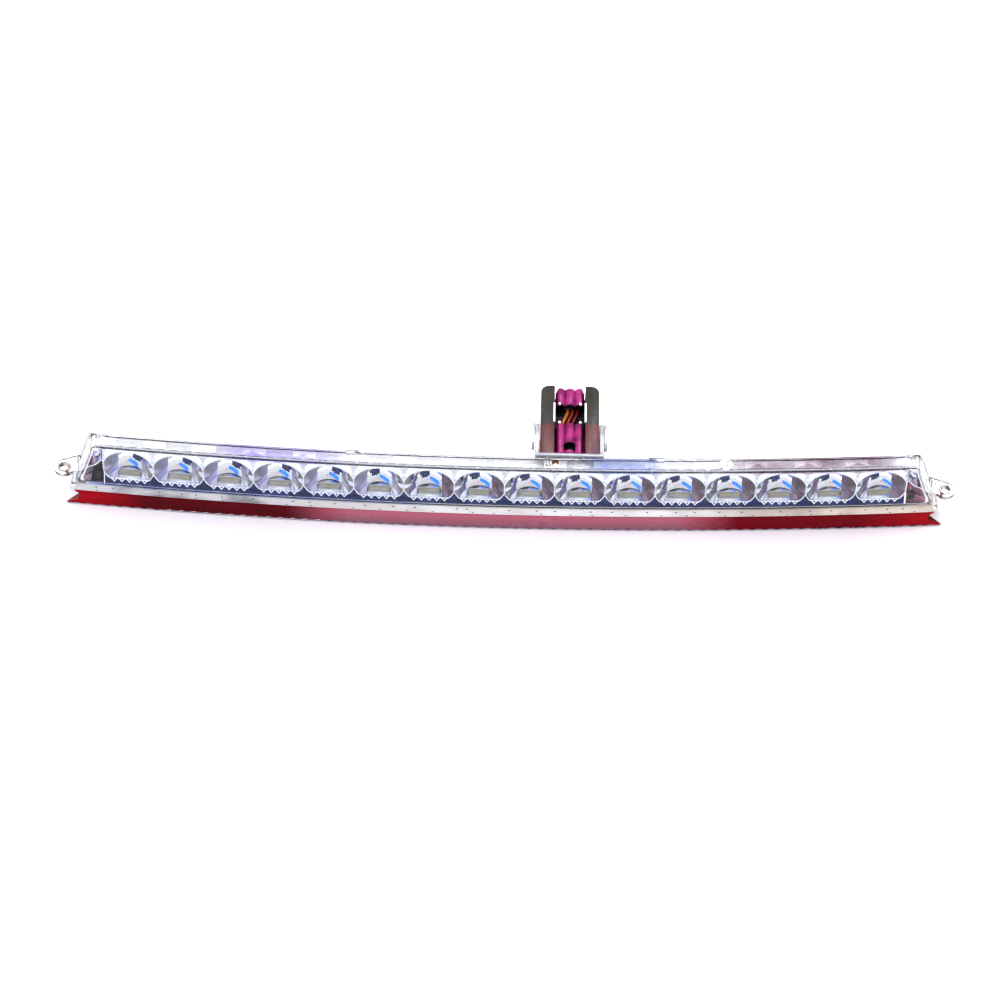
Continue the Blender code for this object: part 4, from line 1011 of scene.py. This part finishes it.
def makeHousing():
    front, back, top = lamp["housingFront"], lamp["housingBack"], lamp["roofTop"]
    knee = top - (back - front) / lamp["roofRun"]
    levels = sorted(set([0.0, lamp["panelBottom"], knee, top] + [z for z in cornerLevels() if z < top]))

    def backAt(z):
        return back if z <= knee else roofY(z)

    sections = [(front, 0.0)] + [(backAt(z), z) for z in levels]

    def ends(z0, z1):
        return [(front, z0), (backAt(z0), z0), (backAt(z1), z1), (front, z1)]

    bm = openShell(sections, housing["stations"], levels, ends)
    thing = makeObject("clearHousing", bm, [looks["clear"]])
    modify(thing, "SOLIDIFY", thickness=housing["wall"] * mm, offset=-1.0, use_even_offset=True)
    bevel(thing, housing["soften"])
    settle(thing)
    for side in (-1, 1):
        x = side * (lamp["endFoot"] + housing["earReach"])
        root = side * (endX(housing["earLevel"]) - housing["earSink"])
        outline = hull([(root, y) for y in housing["earRoot"]] + circle(x, housing["earDepth"], housing["earRadius"]))
        bm = bmesh.new()
        low = housing["earLevel"]
        ringSolid(bm, [[beside(u, v, z, x) for u, v in outline] for z in (low, low + housing["earThick"])])
        ear = makeObject(f"ear{side}", bm)
        bevel(ear, housing["earSoften"])
        settle(ear)
        cut(thing, ear, "UNION")
        bm = bmesh.new()
        bore = circle(x, housing["earDepth"], housing["bush"] + lamp["gap"] / 2)
        over = housing["boreOverrun"]
        ringSolid(bm, [[beside(u, v, z, x) for u, v in bore] for z in (low - over, low + housing["earThick"] + over)])
        cut(thing, makeObject(f"earBore{side}", bm))
    settle(thing)
    return finishPiece(thing, "lamp", "clear_polycarbonate", "rear_housing")


earRibs = {"count": 5, "pitch": 1.25, "size": (0.45, 7.0, 0.5), "out": 2.2, "depth": 14.0}


def makeEarRibs():  # a row of fine moulded ribs across the root of each ear
    for side, name in ((-1, "Left"), (1, "Right")):
        bm = bmesh.new()
        x, y, z = earRibs["size"]
        roundedBlock(bm, (-x / 2, -y / 2, -0.1), (x / 2, y / 2, z), 0.15)
        ribs = makeObject(f"earRibs{name}", bm, [looks["clear"]], merge=0)
        middle = side * (lamp["endFoot"] + earRibs["out"])
        spread(ribs, earRibs["count"], earRibs["pitch"], earRibs["depth"], housing["earLevel"] + housing["earThick"],
               Middle=middle * mm)
        finishPiece(ribs, "lamp", "clear_polycarbonate")


def makeBushes():
    low, high = housing["earLevel"] - housing["proud"], housing["earLevel"] + housing["earThick"] + housing["proud"]
    outer, bore, soft = housing["bush"], housing["bore"], 0.15
    ring = [(bore, low + soft), (bore + soft, low), (outer - soft, low), (outer, low + soft), (outer, high - soft),
            (outer - soft, high), (bore + soft, high), (bore, high - soft)]
    for side, name in ((-1, "left"), (1, "right")):
        bm = bmesh.new()
        rows = [[bm.verts.new(p) for p in row] for row in turnedRings(ring + ring[:1], 48)]
        gridFaces(bm, rows, close=True)
        x = side * (lamp["endFoot"] + housing["earReach"])
        bmesh.ops.translate(bm, verts=bm.verts, vec=beside(x, housing["earDepth"], 0, x))
        bush = makeObject(f"earBush{name.title()}", bm, [looks["steel"]], 30)
        finishPiece(bush, "lamp", "plated_steel", f"ear_bush_{name}")


cover = {
    "stations": 61,
    "soften": 0.4,
    "tab": (7.4, 1.8, 1.9),
    "tabSpread": 72.0,
    "rib": (1.0, 5.0, 0.9),
    "ribPlaces": (-0.38, -0.33, 0.19),  # as shares of the plug's width, from its middle
    "ribBack": 2.4,
}


def makeCover():
    front, back, top, low = lamp["coverSetback"], lamp["ledgeBack"], lamp["ledgeTop"], lamp["panelBottom"]
    levels = span(low, cornerLevels()[0], 6) + cornerLevels()[1:] + [top]
    sections = [(front, z) for z in levels] + [(front + (back - front) * t, top) for t in (0.5, 1.0)]

    def ends(z0, z1):
        loop = [(front, z0), (back, z0), (back, z1), (front, z1)]
        if z1 == top:
            loop.insert(3, (front + (back - front) * 0.5, z1))
        return loop

    bm = openShell(sections, cover["stations"], levels, ends)
    thing = makeObject("clearCover", bm, [looks["cover"]])
    modify(thing, "SOLIDIFY", thickness=lamp["coverWall"] * mm, offset=-1.0, use_even_offset=True)
    bevel(thing, cover["soften"])
    settle(thing)
    bm = bmesh.new()
    for x in (-cover["tabSpread"], cover["tabSpread"]):
        sx, sy, sz = cover["tab"]
        y = back - 0.5 - sy
        roundedBlock(bm, (x - sx / 2, y, top - 0.8), (x + sx / 2, y + sy, top + sz), 0.35, 2, at=x)
    for share in cover["ribPlaces"]:
        sx, sy, sz = cover["rib"]
        x = plug["x"] + share * plug["width"]
        y = front + cover["ribBack"]
        roundedBlock(bm, (x - sx / 2, y, top - 0.8), (x + sx / 2, y + sy, top + sz), 0.25, 2, at=x)
    cut(thing, makeObject("ledgeTabs", bm, merge=0), "UNION")
    settle(thing)
    return finishPiece(thing, "lamp", "clear_polycarbonate", "front_cover")


edgeLine = {"radius": 0.55, "in": 1.05, "stations": 81}


def makeEdgeLine():  # a milky white bead along the rounded front edge of the ledge, a painted highlight
    bm = bmesh.new()
    z, y = lamp["ledgeTop"] - 0.15, lamp["coverSetback"] + edgeLine["in"]
    reach = endX(lamp["ledgeTop"] - 0.3) + 0.2
    edgeChain(bm, [place(t * reach, y, z) for t in span(-1, 1, edgeLine["stations"])])
    line = makeObject("coverEdgeLine", bm, merge=0, sharp=0)
    useTree(line, tubeTree, Radius=edgeLine["radius"] * mm, Sides=10, Material=looks["frosted"])
    finishPiece(settle(line, 0), "lamp", "clear_polycarbonate")


endRim = {"points": 25, "radius": 0.36, "wave": 0.35, "waves": 9}


def makeEndRims():  # a bright wavy bead between the sloping facet and the shards at each end
    for side, name in ((-1, "Left"), (1, "Right")):
        points = []
        for part in span(0, 1, endRim["points"]):
            wave = endRim["wave"] * math.sin(endRim["waves"] * part)
            z = endPanel["facetTop"] - endPanel["fall"] * part + wave
            near = cups["count"] * cupHalf + 0.4
            x = near + part * (endX(z, lamp["coverWall"] + lamp["gap"]) - near - 0.4)
            points.append(place(side * x, lamp["mirrorPlane"] + 0.1, z))
        bm = bmesh.new()
        edgeChain(bm, points)
        rim = makeObject(f"endRim{name}", bm, merge=0, sharp=0)
        useTree(rim, tubeTree, Radius=endRim["radius"] * mm, Sides=8, Material=looks["mirror"])
        finishPiece(settle(rim, 0), "lamp", "vacuum_metalised")


redLens = {
    "wall": 2.2,
    "flange": 1.6,
    "notch": 1.8,
    "lip": 1.2,
    "wing": 6.0,
    "scallop": 6.0,  # pitch of the scallops, a quarter of a bowl
    "scallopIn": 0.5,
    "scallopUp": 0.75,
    "stations": 561,
}


def makeRedLens():
    foot, top, back = lamp["endFoot"], lamp["redTop"], lamp["ledgeBack"]
    notch, horn, wing = foot - redLens["notch"], foot + redLens["lip"], foot + redLens["wing"]
    wall, flange = redLens["wall"], redLens["flange"]
    inner = notch - 0.4
    outline = [
        (0.9, 0.0, wing - 0.6), (0.0, 1.1, wing), (0.0, top * 0.3, notch + 2.2), (0.0, top * 0.55, notch),
        (0.0, top * 0.8, notch + 1.0), (0.0, top - 0.5, horn), (0.35, top, horn - 0.2), (back - 1.0, top, notch),
        (back - 1.0, top - flange, inner), (wall, top - flange, inner), (wall, top * 0.5, inner),
        (wall, flange, inner), (back, flange, inner), (back, 0.0, notch),
    ]
    bm = bmesh.new()
    rings = []
    for t in span(-1, 1, redLens["stations"]):
        ring = []
        for number, (y, z, end) in enumerate(outline):
            x = t * end
            wave = abs(math.sin(math.pi * x / redLens["scallop"]))
            inside = min(1.0, (1 - abs(t)) * 30)
            if number in (0, 9, 10, 11):  # the foot and the inner wall
                y += redLens["scallopIn"] * wave * inside
            if number == 1:
                z += redLens["scallopUp"] * (wave - 0.5) * inside
            ring.append(place(x, y, z))
        rings.append(ring)
    ringSolid(bm, rings)
    lens = makeObject("redLensStrip", bm, [looks["red"]], 28)
    return finishPiece(lens, "lamp", "red_acrylic", "red_lens")


lensGlintsAndShade = {  # painted highlights and painted shade marks along the foot of the lens
    "rows": (  # name, look, count, pitch, middle, size
        ("lensGlintsLeft", "ceramic", 13, 6.0, -126.0, (2.6, 0.3, 0.4)),
        ("lensShadeMarksRight", "seam", 6, 9.0, 176.0, (3.4, 0.3, 0.5)),
    ),
    "tilt": -10,
    "proud": -0.15,
    "level": 1.3,
}


def makeLensGlintsAndShade():
    for name, look, count, pitch, middle, size in lensGlintsAndShade["rows"]:
        bm = bmesh.new()
        x, y, z = size
        roundedBlock(bm, (-x / 2, 0, -z / 2), (x / 2, y, z / 2), 0.12, 2)
        bmesh.ops.rotate(bm, verts=bm.verts, matrix=Matrix.Rotation(math.radians(lensGlintsAndShade["tilt"]), 3, "Y"))
        ticks = makeObject(name, bm, [looks[look]], merge=0)
        spread(ticks, count, pitch, lensGlintsAndShade["proud"], lensGlintsAndShade["level"], Middle=middle * mm)
        finishPiece(ticks, "lamp", "red_acrylic")


trim = {
    "proud": 0.3,
    "chamfer": 0.8,
    "end": 0.8,
    "stations": 121,
    "marks": ((27, 15.1, 1.1, 5.6, 5), (31, 13.1, 3.5, 4.8, 9)),  # count, pitch, height up the face, scatter, seed
    "mark": (0.9, 0.3, 0.4),
}


def makeTrim():
    low, top, end = lamp["trimBottom"], lamp["trimTop"], lamp["endFoot"] + trim["end"]
    front, back = -trim["proud"], lamp["ledgeBack"] - 1.0
    outline = [
        (front + 0.2, low), (front, low + 0.2), (front, top - trim["chamfer"] - 0.1),
        (front + 0.1, top - trim["chamfer"] + 0.12), (front + trim["chamfer"], top), (back, top), (back, low),
    ]
    bm = bmesh.new()
    ringSolid(bm, [[place(t * end, y, z) for y, z in outline] for t in span(-1, 1, trim["stations"])])
    strip = makeObject("creamTrim", bm, [looks["cream"]], 30)
    finishPiece(strip, "lamp", "cream_plastic", "trim_strip")
    for number, (count, pitch, up, scatter, seed) in enumerate(trim["marks"]):
        bm = bmesh.new()
        x, y, z = trim["mark"]
        roundedBlock(bm, (-x / 2, 0, -z / 2), (x / 2, y, z / 2), 0.08, 1)
        marks = makeObject(f"trimWeldMarks{number + 1}", bm, [looks["seam"]], merge=0)
        spread(marks, count, pitch, front - 0.12, low + up, Jitter=scatter * mm, Seed=seed)
        finishPiece(marks, "lamp", "cream_plastic")


plug = {
    "x": 30.5,
    "width": 28.0,
    "length": 42.6,
    "height": 13.6,
    "corner": 4.0,
    "channel": 14.8,
    "floor": 3.5,
    "top": cadCorner("plug_shell", 1).z,
    "far": cadCorner("plug_shell", 1).y,
    "soften": 0.5,
}
plug["back"] = plug["far"] - lamp["front"] - bow(plug["x"])  # in the straight section
plug["front"] = plug["back"] - plug["length"]
plug["bottom"] = plug["top"] - plug["height"]
plug["set"] = plug["front"] - roofY(plug["top"])


def besidePlug(x, y, z):
    return beside(x, y, z, plug["x"])


def prismObject(name, outline, low, high, materials=(), axis="x", sharp=35.0):
    bm = bmesh.new()
    rings = []
    for level in (low, high):
        if axis == "z":
            rings.append([besidePlug(u, v, level) for u, v in outline])
        elif axis == "y":
            rings.append([besidePlug(u, level, v) for u, v in outline])
        else:
            rings.append([besidePlug(level, u, v) for u, v in outline])
    ringSolid(bm, rings)
    return makeObject(name, bm, materials, sharp)


def blockObject(name, low, high, radius=0.0):
    bm = bmesh.new()
    roundedBlock(bm, low, high, radius or 0.01, 2 if radius else 1, at=plug["x"])
    return makeObject(name, bm, merge=0)


def slantCutter(name, setback):
    high, low = plug["top"] + 3, plug["bottom"] - 3
    ahead = lamp["housingFront"] - 12
    outline = [(ahead, high), (roofY(high) + setback, high), (roofY(low) + setback, low), (ahead, low)]
    return prismObject(name, outline, plug["x"] - plug["width"], plug["x"] + plug["width"])


def makeShell():
    half, corner, middle = plug["width"] / 2, plug["corner"], plug["x"]
    outline = [(middle - half, plug["front"] - 3), (middle + half, plug["front"] - 3)]
    for start, side in ((0, 1), (90, -1)):
        for turn in span(start, start + 90, 9):
            a = math.radians(turn)
            x = middle + side * (half - corner) + corner * math.cos(a)
            outline.append((x, plug["back"] - corner + corner * math.sin(a)))
    shell = prismObject("smokyShell", outline, plug["bottom"], plug["top"], [looks["smoky"]], "z")
    cut(shell, slantCutter("mouthCut", plug["set"]))
    low = (middle - plug["channel"] / 2, plug["front"] - 12, plug["bottom"] + plug["floor"])
    high = (middle + plug["channel"] / 2, plug["back"] + 4, plug["top"] + 4)
    cut(shell, blockObject("channelCut", low, high))
    settle(shell)
    bevel(shell, plug["soften"], 3)
    settle(shell)
    finishPiece(shell, "plug", "smoky_polycarbonate", "plug_shell")


insert = {
    "sink": 0.4,
    "rib": 1.5,
    "ribs": 3,
    "ribPower": 0.8,
    "points": 49,
    "edgeRoll": (2.6, 0.82),  # how far each edge rolls down, and from what share of the half width
    "endRoll": ((0.0, 0.8), (0.05, 0.25), (0.12, 0.0), (0.88, 0.0), (0.95, 0.25), (1.0, 0.8)),
    "latchHole": (5.4, 4.6, 4.5),
    "latchWall": 0.7,
    "lock": 10.4,
    "window": 11.6,
    "travel": 3.0,
    "bar": (1.0, 12.0, 0.9),
    "hook": (1.3, 1.3, 1.0),
}
insert["lockBack"] = plug["back"] - 0.4
insert["lockFront"] = insert["lockBack"] - insert["lock"]
insert["back"] = insert["lockFront"] - insert["window"]
insert["top"] = plug["top"] - insert["sink"]
insert["bottom"] = plug["bottom"] + plug["floor"] + lamp["gap"]
insert["half"] = plug["channel"] / 2 - lamp["gap"]
lead = {"diameter": 1.7, "pitch": 2.4, "drift": 2.9, "hold": 3.0, "drop": 5.2, "rise": 0.5, "room": 0.2, "points": 33}
lead["level"] = insert["top"] - lead["drop"]


def ribbedOutline(share):  # a block with three rounded ribs along its top
    half, top = insert["half"] * share, insert["top"]
    outline = [(plug["x"] - half, insert["bottom"]), (plug["x"] + half, insert["bottom"])]
    roll, start = insert["edgeRoll"]
    for u in span(1, -1, insert["points"]):
        rib = abs(math.cos(insert["ribs"] / 2 * math.pi * u)) ** insert["ribPower"]
        edge = roll * max(0.0, abs(u) - start) / (1 - start)
        outline.append((plug["x"] + half * u, top - insert["rib"] * (1 - rib) - edge))
    return outline


def ribbedBlock(name, front, back, share):  # its top rolls down at both ends
    bm = bmesh.new()
    rings = []
    for t, drop in insert["endRoll"]:
        rings.append([
            besidePlug(x, front + (back - front) * t, z - (drop if z > insert["bottom"] + 1 else 0))
            for x, z in ribbedOutline(share)
        ])
    ringSolid(bm, rings)
    return makeObject(name, bm, [looks["pink"], looks["rubber"]], 50)


def leadX(number, part):
    return plug["x"] + (number - 1) * lead["pitch"] + (part - 0.5) * lead["drift"]


def leadCutter(name, part, front, back):
    bm = bmesh.new()
    for number in range(3):
        ring = circle(leadX(number, part), lead["level"], lead["diameter"] / 2 + lead["room"], 24)
        ringSolid(bm, [[besidePlug(x, y, z) for x, z in ring] for y in (front, back)])
    return makeObject(name, bm, merge=0)


def makeInsert():
    block = ribbedBlock("pinkInsert", plug["front"] + 0.6, insert["back"], 0.95)
    cut(block, slantCutter("insertMouth", plug["set"] + 2 * lamp["gap"]))
    width, length, depth = insert["latchHole"]
    front = roofY(insert["top"] - 1.8) + plug["set"] + 2 * lamp["gap"] + insert["latchWall"]
    low = (plug["x"] - width / 2, front, insert["top"] - depth)
    cut(block, blockObject("latchHole", low, (plug["x"] + width / 2, front + length, insert["top"] + 2), 0.3))
    cut(block, leadCutter("insertLeads", 0, insert["back"] - lead["hold"] - 0.3, insert["back"] + 1))
    settle(block, 40)
    for face in block.data.polygons:  # the catch hole's inside is painted black as shade
        centre = face.center / mm
        lowest = min(block.data.vertices[v].co.z for v in face.vertices) / mm
        inside = abs(centre.x - plug["x"]) < width / 2 + 0.01 and lowest < insert["top"] - 2.0
        behind = front - 0.01 < centre.y - lamp["front"] - bow(plug["x"]) < front + length + 0.01
        if inside and behind and centre.z > insert["top"] - depth - 0.1:
            face.material_index = 1
    finishPiece(block, "plug", "pink_nylon", "plug_insert")
    lock = ribbedBlock("pinkLock", insert["lockFront"], insert["lockBack"], 0.98)
    depth = lead["hold"] + insert["travel"] / 2 + 0.3
    cut(lock, leadCutter("lockLeads", 1, insert["lockFront"] - 1, insert["lockFront"] + depth))
    settle(lock, 40)
    for face in lock.data.polygons:  # the window's far wall is painted black as shade
        y = face.center.y / mm - lamp["front"] - bow(plug["x"])
        if y < insert["lockFront"] + 0.2 and face.normal.y < -0.9:
            face.material_index = 1
    finishPiece(lock, "lock", "pink_nylon", "plug_lock")


def makeWindowHighlightBars():  # white bars and hooks that frame the wire window, painted highlights of its clear edges
    x, y, z = insert["bar"]
    hx, hy, hz = insert["hook"]
    front, back = insert["back"], insert["lockFront"]
    for side, name in ((-1, "Left"), (1, "Right")):
        bm = bmesh.new()
        edge = plug["x"] + side * (plug["channel"] / 2 + 0.1)
        middle = (front + back) / 2
        low = (edge - x / 2, middle - y / 2, plug["top"] - z)
        high = (edge + x / 2, middle + y / 2, plug["top"] + 0.25)
        roundedBlock(bm, low, high, 0.2, 2, at=plug["x"])
        for end in (front, back):
            inner = plug["x"] + side * (plug["channel"] / 2 - 2.4)
            low = (inner - hx / 2, end - hy / 2, insert["top"] - hz)
            high = (inner + hx / 2, end + hy / 2, insert["top"] + 0.2)
            roundedBlock(bm, low, high, 0.3, 2, at=plug["x"])
        bars = makeObject(f"windowBar{name}", bm, [looks["ceramic"]], merge=0)
        finishPiece(bars, "plug", "smoky_polycarbonate")


seal = {"height": 3.0, "groove": 0.25, "grooves": 4, "points": 41}


def makeSeal():  # a low rubber block with shallow grooves across it
    front, back = insert["back"] + lamp["gap"], insert["lockFront"] - lamp["gap"]
    low, high = insert["bottom"], insert["bottom"] + seal["height"]
    outline = [(front, low), (back, low)]
    for t in span(1.0, 0.0, seal["points"]):
        groove = seal["groove"] * (1 - abs(math.cos(seal["grooves"] * math.pi * t)))
        outline.append((front + (back - front) * t, high - groove))
    block = prismObject("wireSeal", outline, plug["x"] - insert["half"], plug["x"] + insert["half"],
                       [looks["rubber"]])
    finishPiece(block, "plug", "black_rubber", "wire_seal")


def makeLeads():  # three insulated wires on a slow S between the insert and the lock
    front, back = insert["back"] - lead["hold"], insert["lockFront"] + lead["hold"]
    for number, colour in enumerate(("yellow", "orange", "red")):
        points = []
        for y in span(front, back, lead["points"]):
            t = min(1.0, max(0.0, (y - insert["back"]) / insert["window"]))
            points.append(besidePlug(leadX(number, ease(t)), y, lead["level"] + lead["rise"] * math.sin(math.pi * t)))
        bm = bmesh.new()
        edgeChain(bm, points)
        wire = makeObject(f"{colour}Wire", bm, merge=0, sharp=0)
        useTree(wire, tubeTree, Radius=lead["diameter"] / 2 * mm, Sides=20,
                Material=looks["redWire" if colour == "red" else colour])
        finishPiece(settle(wire, 50), "plug", f"lead_{colour}", f"lead_{colour}")


cradle = {
    "wall": 2.0,
    "plate": 1.6,
    "length": 19.6,
    "bar": 1.4,
    "room": 0.35,
    "plateFront": 0.4,
    "wallDrop": 1.4,  # below the plug's top
    "pins": (-4.0, 0.0, 4.0),
    "pinHole": (1.1, 0.9),  # half sizes
    "pinDrop": 6.0,
}
cradle["inner"] = plug["width"] / 2 + cradle["room"]
cradle["outer"] = cradle["inner"] + cradle["wall"]
cradle["back"] = plug["front"] + cradle["length"]


def makeCradle():
    floorTop = plug["bottom"] - cradle["room"]
    floor = floorTop - cradle["plate"]
    plateFront, plateBack = cradle["plateFront"], cradle["plateFront"] + cradle["plate"]
    top = lamp["ledgeTop"] + cradle["bar"] - 0.3
    knee = lamp["roofTop"] - (lamp["housingBack"] - lamp["housingFront"]) / lamp["roofRun"]
    outline = [
        (roofY(lamp["roofTop"]) + plateFront, top), (roofY(lamp["roofTop"]) + plateBack, top),
        (roofY(lamp["roofTop"]) + plateBack, lamp["roofTop"]), (roofY(floorTop) + plateBack, floorTop),
        (cradle["back"], floorTop), (cradle["back"], floor), (lamp["housingBack"] + plateFront, floor),
        (lamp["housingBack"] + plateFront, knee), (roofY(lamp["roofTop"]) + plateFront, lamp["roofTop"]),
    ]
    thing = prismObject("clearCradle", outline, plug["x"] - cradle["outer"], plug["x"] + cradle["outer"],
                        [looks["frosted"]])
    bevel(thing, 0.3)
    settle(thing)
    wallTop = plug["top"] - cradle["wallDrop"]
    side = [
        (roofY(wallTop) + plateFront + cradle["plate"] / 2, wallTop), (cradle["back"] - 0.2, wallTop),
        (cradle["back"] - 0.2, floor + cradle["plate"] / 2),
        (roofY(floorTop) + plateFront + cradle["plate"] / 2, floor + cradle["plate"] / 2),
    ]
    for number, x in enumerate((plug["x"] - cradle["outer"] + 0.1, plug["x"] + cradle["inner"])):
        wall = prismObject(f"cradleWall{number}", side, x, x + cradle["wall"] - 0.1)
        bevel(wall, 0.25)
        settle(wall)
        cut(thing, wall, "UNION")
    across, tall = cradle["pinHole"]
    for offset in cradle["pins"]:
        x, level = plug["x"] + offset, insert["top"] - cradle["pinDrop"]
        low = (x - across, roofY(level) - 2, level - tall)
        cut(thing, blockObject(f"pinHole{offset}", low, (x + across, roofY(level) + 5, level + tall)))
    settle(thing)
    finishPiece(thing, "lamp", "clear_polycarbonate", "connector_cradle")


latch = {"thick": 1.4, "length": 12.0, "height": 6.0, "hook": 2.4, "drop": 4.6}


def makeLatches():
    inner = cradle["outer"] + cradle["room"]
    reach = inner - cradle["inner"]
    back = cradle["back"] + 0.6 + latch["hook"]
    level = plug["top"] - latch["drop"] - latch["height"] / 2
    length, hook = latch["length"], latch["hook"]
    for name, side in (("left", -1), ("right", 1)):
        outline = [
            (0, 0), (side * latch["thick"], 0), (side * latch["thick"], length), (-side * reach, length),
            (-side * reach, length - hook * 0.6), (-side * reach * 0.6, length - hook), (0, length - hook),
        ]
        if side < 0:
            outline.reverse()
        places = [(plug["x"] + side * inner + x, back - length + y) for x, y in outline]
        arm = prismObject(f"latchArm{name.title()}", places, level - latch["height"] / 2, level + latch["height"] / 2,
                          [looks["frosted"]], "z")
        bevel(arm, 0.22)
        settle(arm)
        finishPiece(arm, f"{name}_latch", "clear_polycarbonate", f"latch_{name}")


makeHousing()
makeEarRibs()
makeBushes()
makeCover()
makeEdgeLine()
makeEndRims()
print("housing and cover made")
makeRedLens()
makeLensGlintsAndShade()
makeTrim()
print("lens and trim made")
makeShell()
makeInsert()
makeWindowHighlightBars()
makeSeal()
makeLeads()
makeCradle()
makeLatches()
print("plug made")

for node, look in (("led_board", "board"), ("feed_ribbon", "film"), ("vent_membrane", "vent"),
                   ("terminal_1", "tin"), ("terminal_2", "tin"), ("terminal_3", "tin")):
    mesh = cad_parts[node].data
    mesh.materials.clear()
    mesh.materials.append(looks[look])


studio = {
    "floor": "#FFFFFF",
    "distance": 1.7,
    "elevation": 51.0,
    "roll": 1.5,
    "target": (-2.0, -27.0, 22.0),
    "across": 478.0,  # width of the view at the target
    "ambient": 0.74,
    "sky": ((0.35, "#FFFFFF"), (0.62, "#E8E5E7"), (0.8, "#FFFFFF")),
    "lights": (  # name, place, size, power, colour
        ("keyPanel", (-0.9, -0.4, 1.7), (1.0, 0.7), 10, "#FFFFFF"),
        ("fillPanel", (1.1, 0.3, 1.4), (0.8, 0.8), 5, "#F6F8FF"),
        ("backPanel", (0.2, 0.75, 1.5), (1.0, 0.5), 8, "#EEF3FF"),
    ),
    "cards": (  # name, place, size, colour, glow
        ("blueWindow", (-1.3, -2.2, 1.15), (2.6, 0.75), "#2E7CFF", 0.8),
        ("redSign", (0.3, -2.3, 1.3), (0.3, 0.2), "#E0204A", 0.6),
    ),
}


def makeFloor():
    bm = bmesh.new()
    corners = ((-6000, -6000), (6000, -6000), (6000, 6000), (-6000, 6000))
    bm.faces.new([bm.verts.new((x, y, -0.05)) for x, y in corners])
    paper = newMaterial("paleFloor", {"Base Color": studio["floor"], "Roughness": 0.6, "Specular IOR Level": 0.1})[0]
    makeObject("studioFloor", bm, [paper], merge=0, sharp=0)


def makeLights():
    for name, spot, size, power, colour in studio["lights"]:
        data = bpy.data.lights.new(name, "AREA")
        data.shape = "RECTANGLE"
        data.size, data.size_y = size
        data.energy = power
        data.color = linear(colour)[:3]
        panel = bpy.data.objects.new(name, data)
        scene.collection.objects.link(panel)
        panel.location = spot
        panel.rotation_euler = (-Vector(spot)).to_track_quat("-Z", "Y").to_euler()


def makeCards():  # glowing boards for the mirror to reflect, each facing the lamp
    for name, spot, size, colour, glow in studio["cards"]:
        bm = bmesh.new()
        turn = (-Vector(spot)).to_track_quat("-Z", "Y").to_matrix()
        w, h = size[0] / 2, size[1] / 2
        corners = [Vector(spot) + turn @ Vector((x, y, 0)) for x, y in ((-w, -h), (w, -h), (w, h), (-w, h))]
        bm.faces.new([bm.verts.new(corner / mm) for corner in corners])
        board = newMaterial(name, {
            "Base Color": colour, "Roughness": 0.8, "Specular IOR Level": 0.0,
            "Emission Color": colour, "Emission Strength": glow,
        })[0]
        makeObject(name, bm, [board], merge=0, sharp=0)


def makeWorld():
    world = bpy.data.worlds.new("softStudio")
    scene.world = world
    world.use_nodes = True
    tree = world.node_tree
    heading = addNode(tree, "ShaderNodeTexCoord").outputs["Generated"]
    up = addNode(tree, "ShaderNodeSeparateXYZ", {"Vector": heading}).outputs["Z"]
    height = addNode(tree, "ShaderNodeMapRange", {"Value": up, "From Min": -0.1, "From Max": 1.0})
    sky = addNode(tree, "ShaderNodeValToRGB", {"Fac": height})
    stops = sky.color_ramp.elements
    stops[0].color, stops[1].color = linear("#FFFFFF"), linear("#D8D3D4")
    for at, colour in studio["sky"]:
        stops.new(at).color = linear(colour)
    setSockets(tree, tree.nodes["Background"], {"Color": sky, "Strength": studio["ambient"]})


def makeCamera():
    data = bpy.data.cameras.new("camera")
    data.sensor_width = 36.0
    data.lens = data.sensor_width * studio["distance"] / (studio["across"] * mm)
    data.clip_start, data.clip_end = 0.05, 50
    camera = bpy.data.objects.new("camera", data)
    scene.collection.objects.link(camera)
    a = math.radians(studio["elevation"])
    back = Vector((0, -math.cos(a), math.sin(a)))
    camera.location = Vector(studio["target"]) * mm + back * studio["distance"]
    roll = Matrix.Rotation(math.radians(studio["roll"]), 3, back)
    camera.rotation_euler = (roll @ (-back).to_track_quat("-Z", "Y").to_matrix()).to_euler()
    scene.camera = camera


makeFloor()
makeWorld()
makeLights()
makeCards()
makeCamera()
scene.view_settings.view_transform = "Standard"
scene.view_settings.look = "High Contrast"
print("floor, light and camera made")
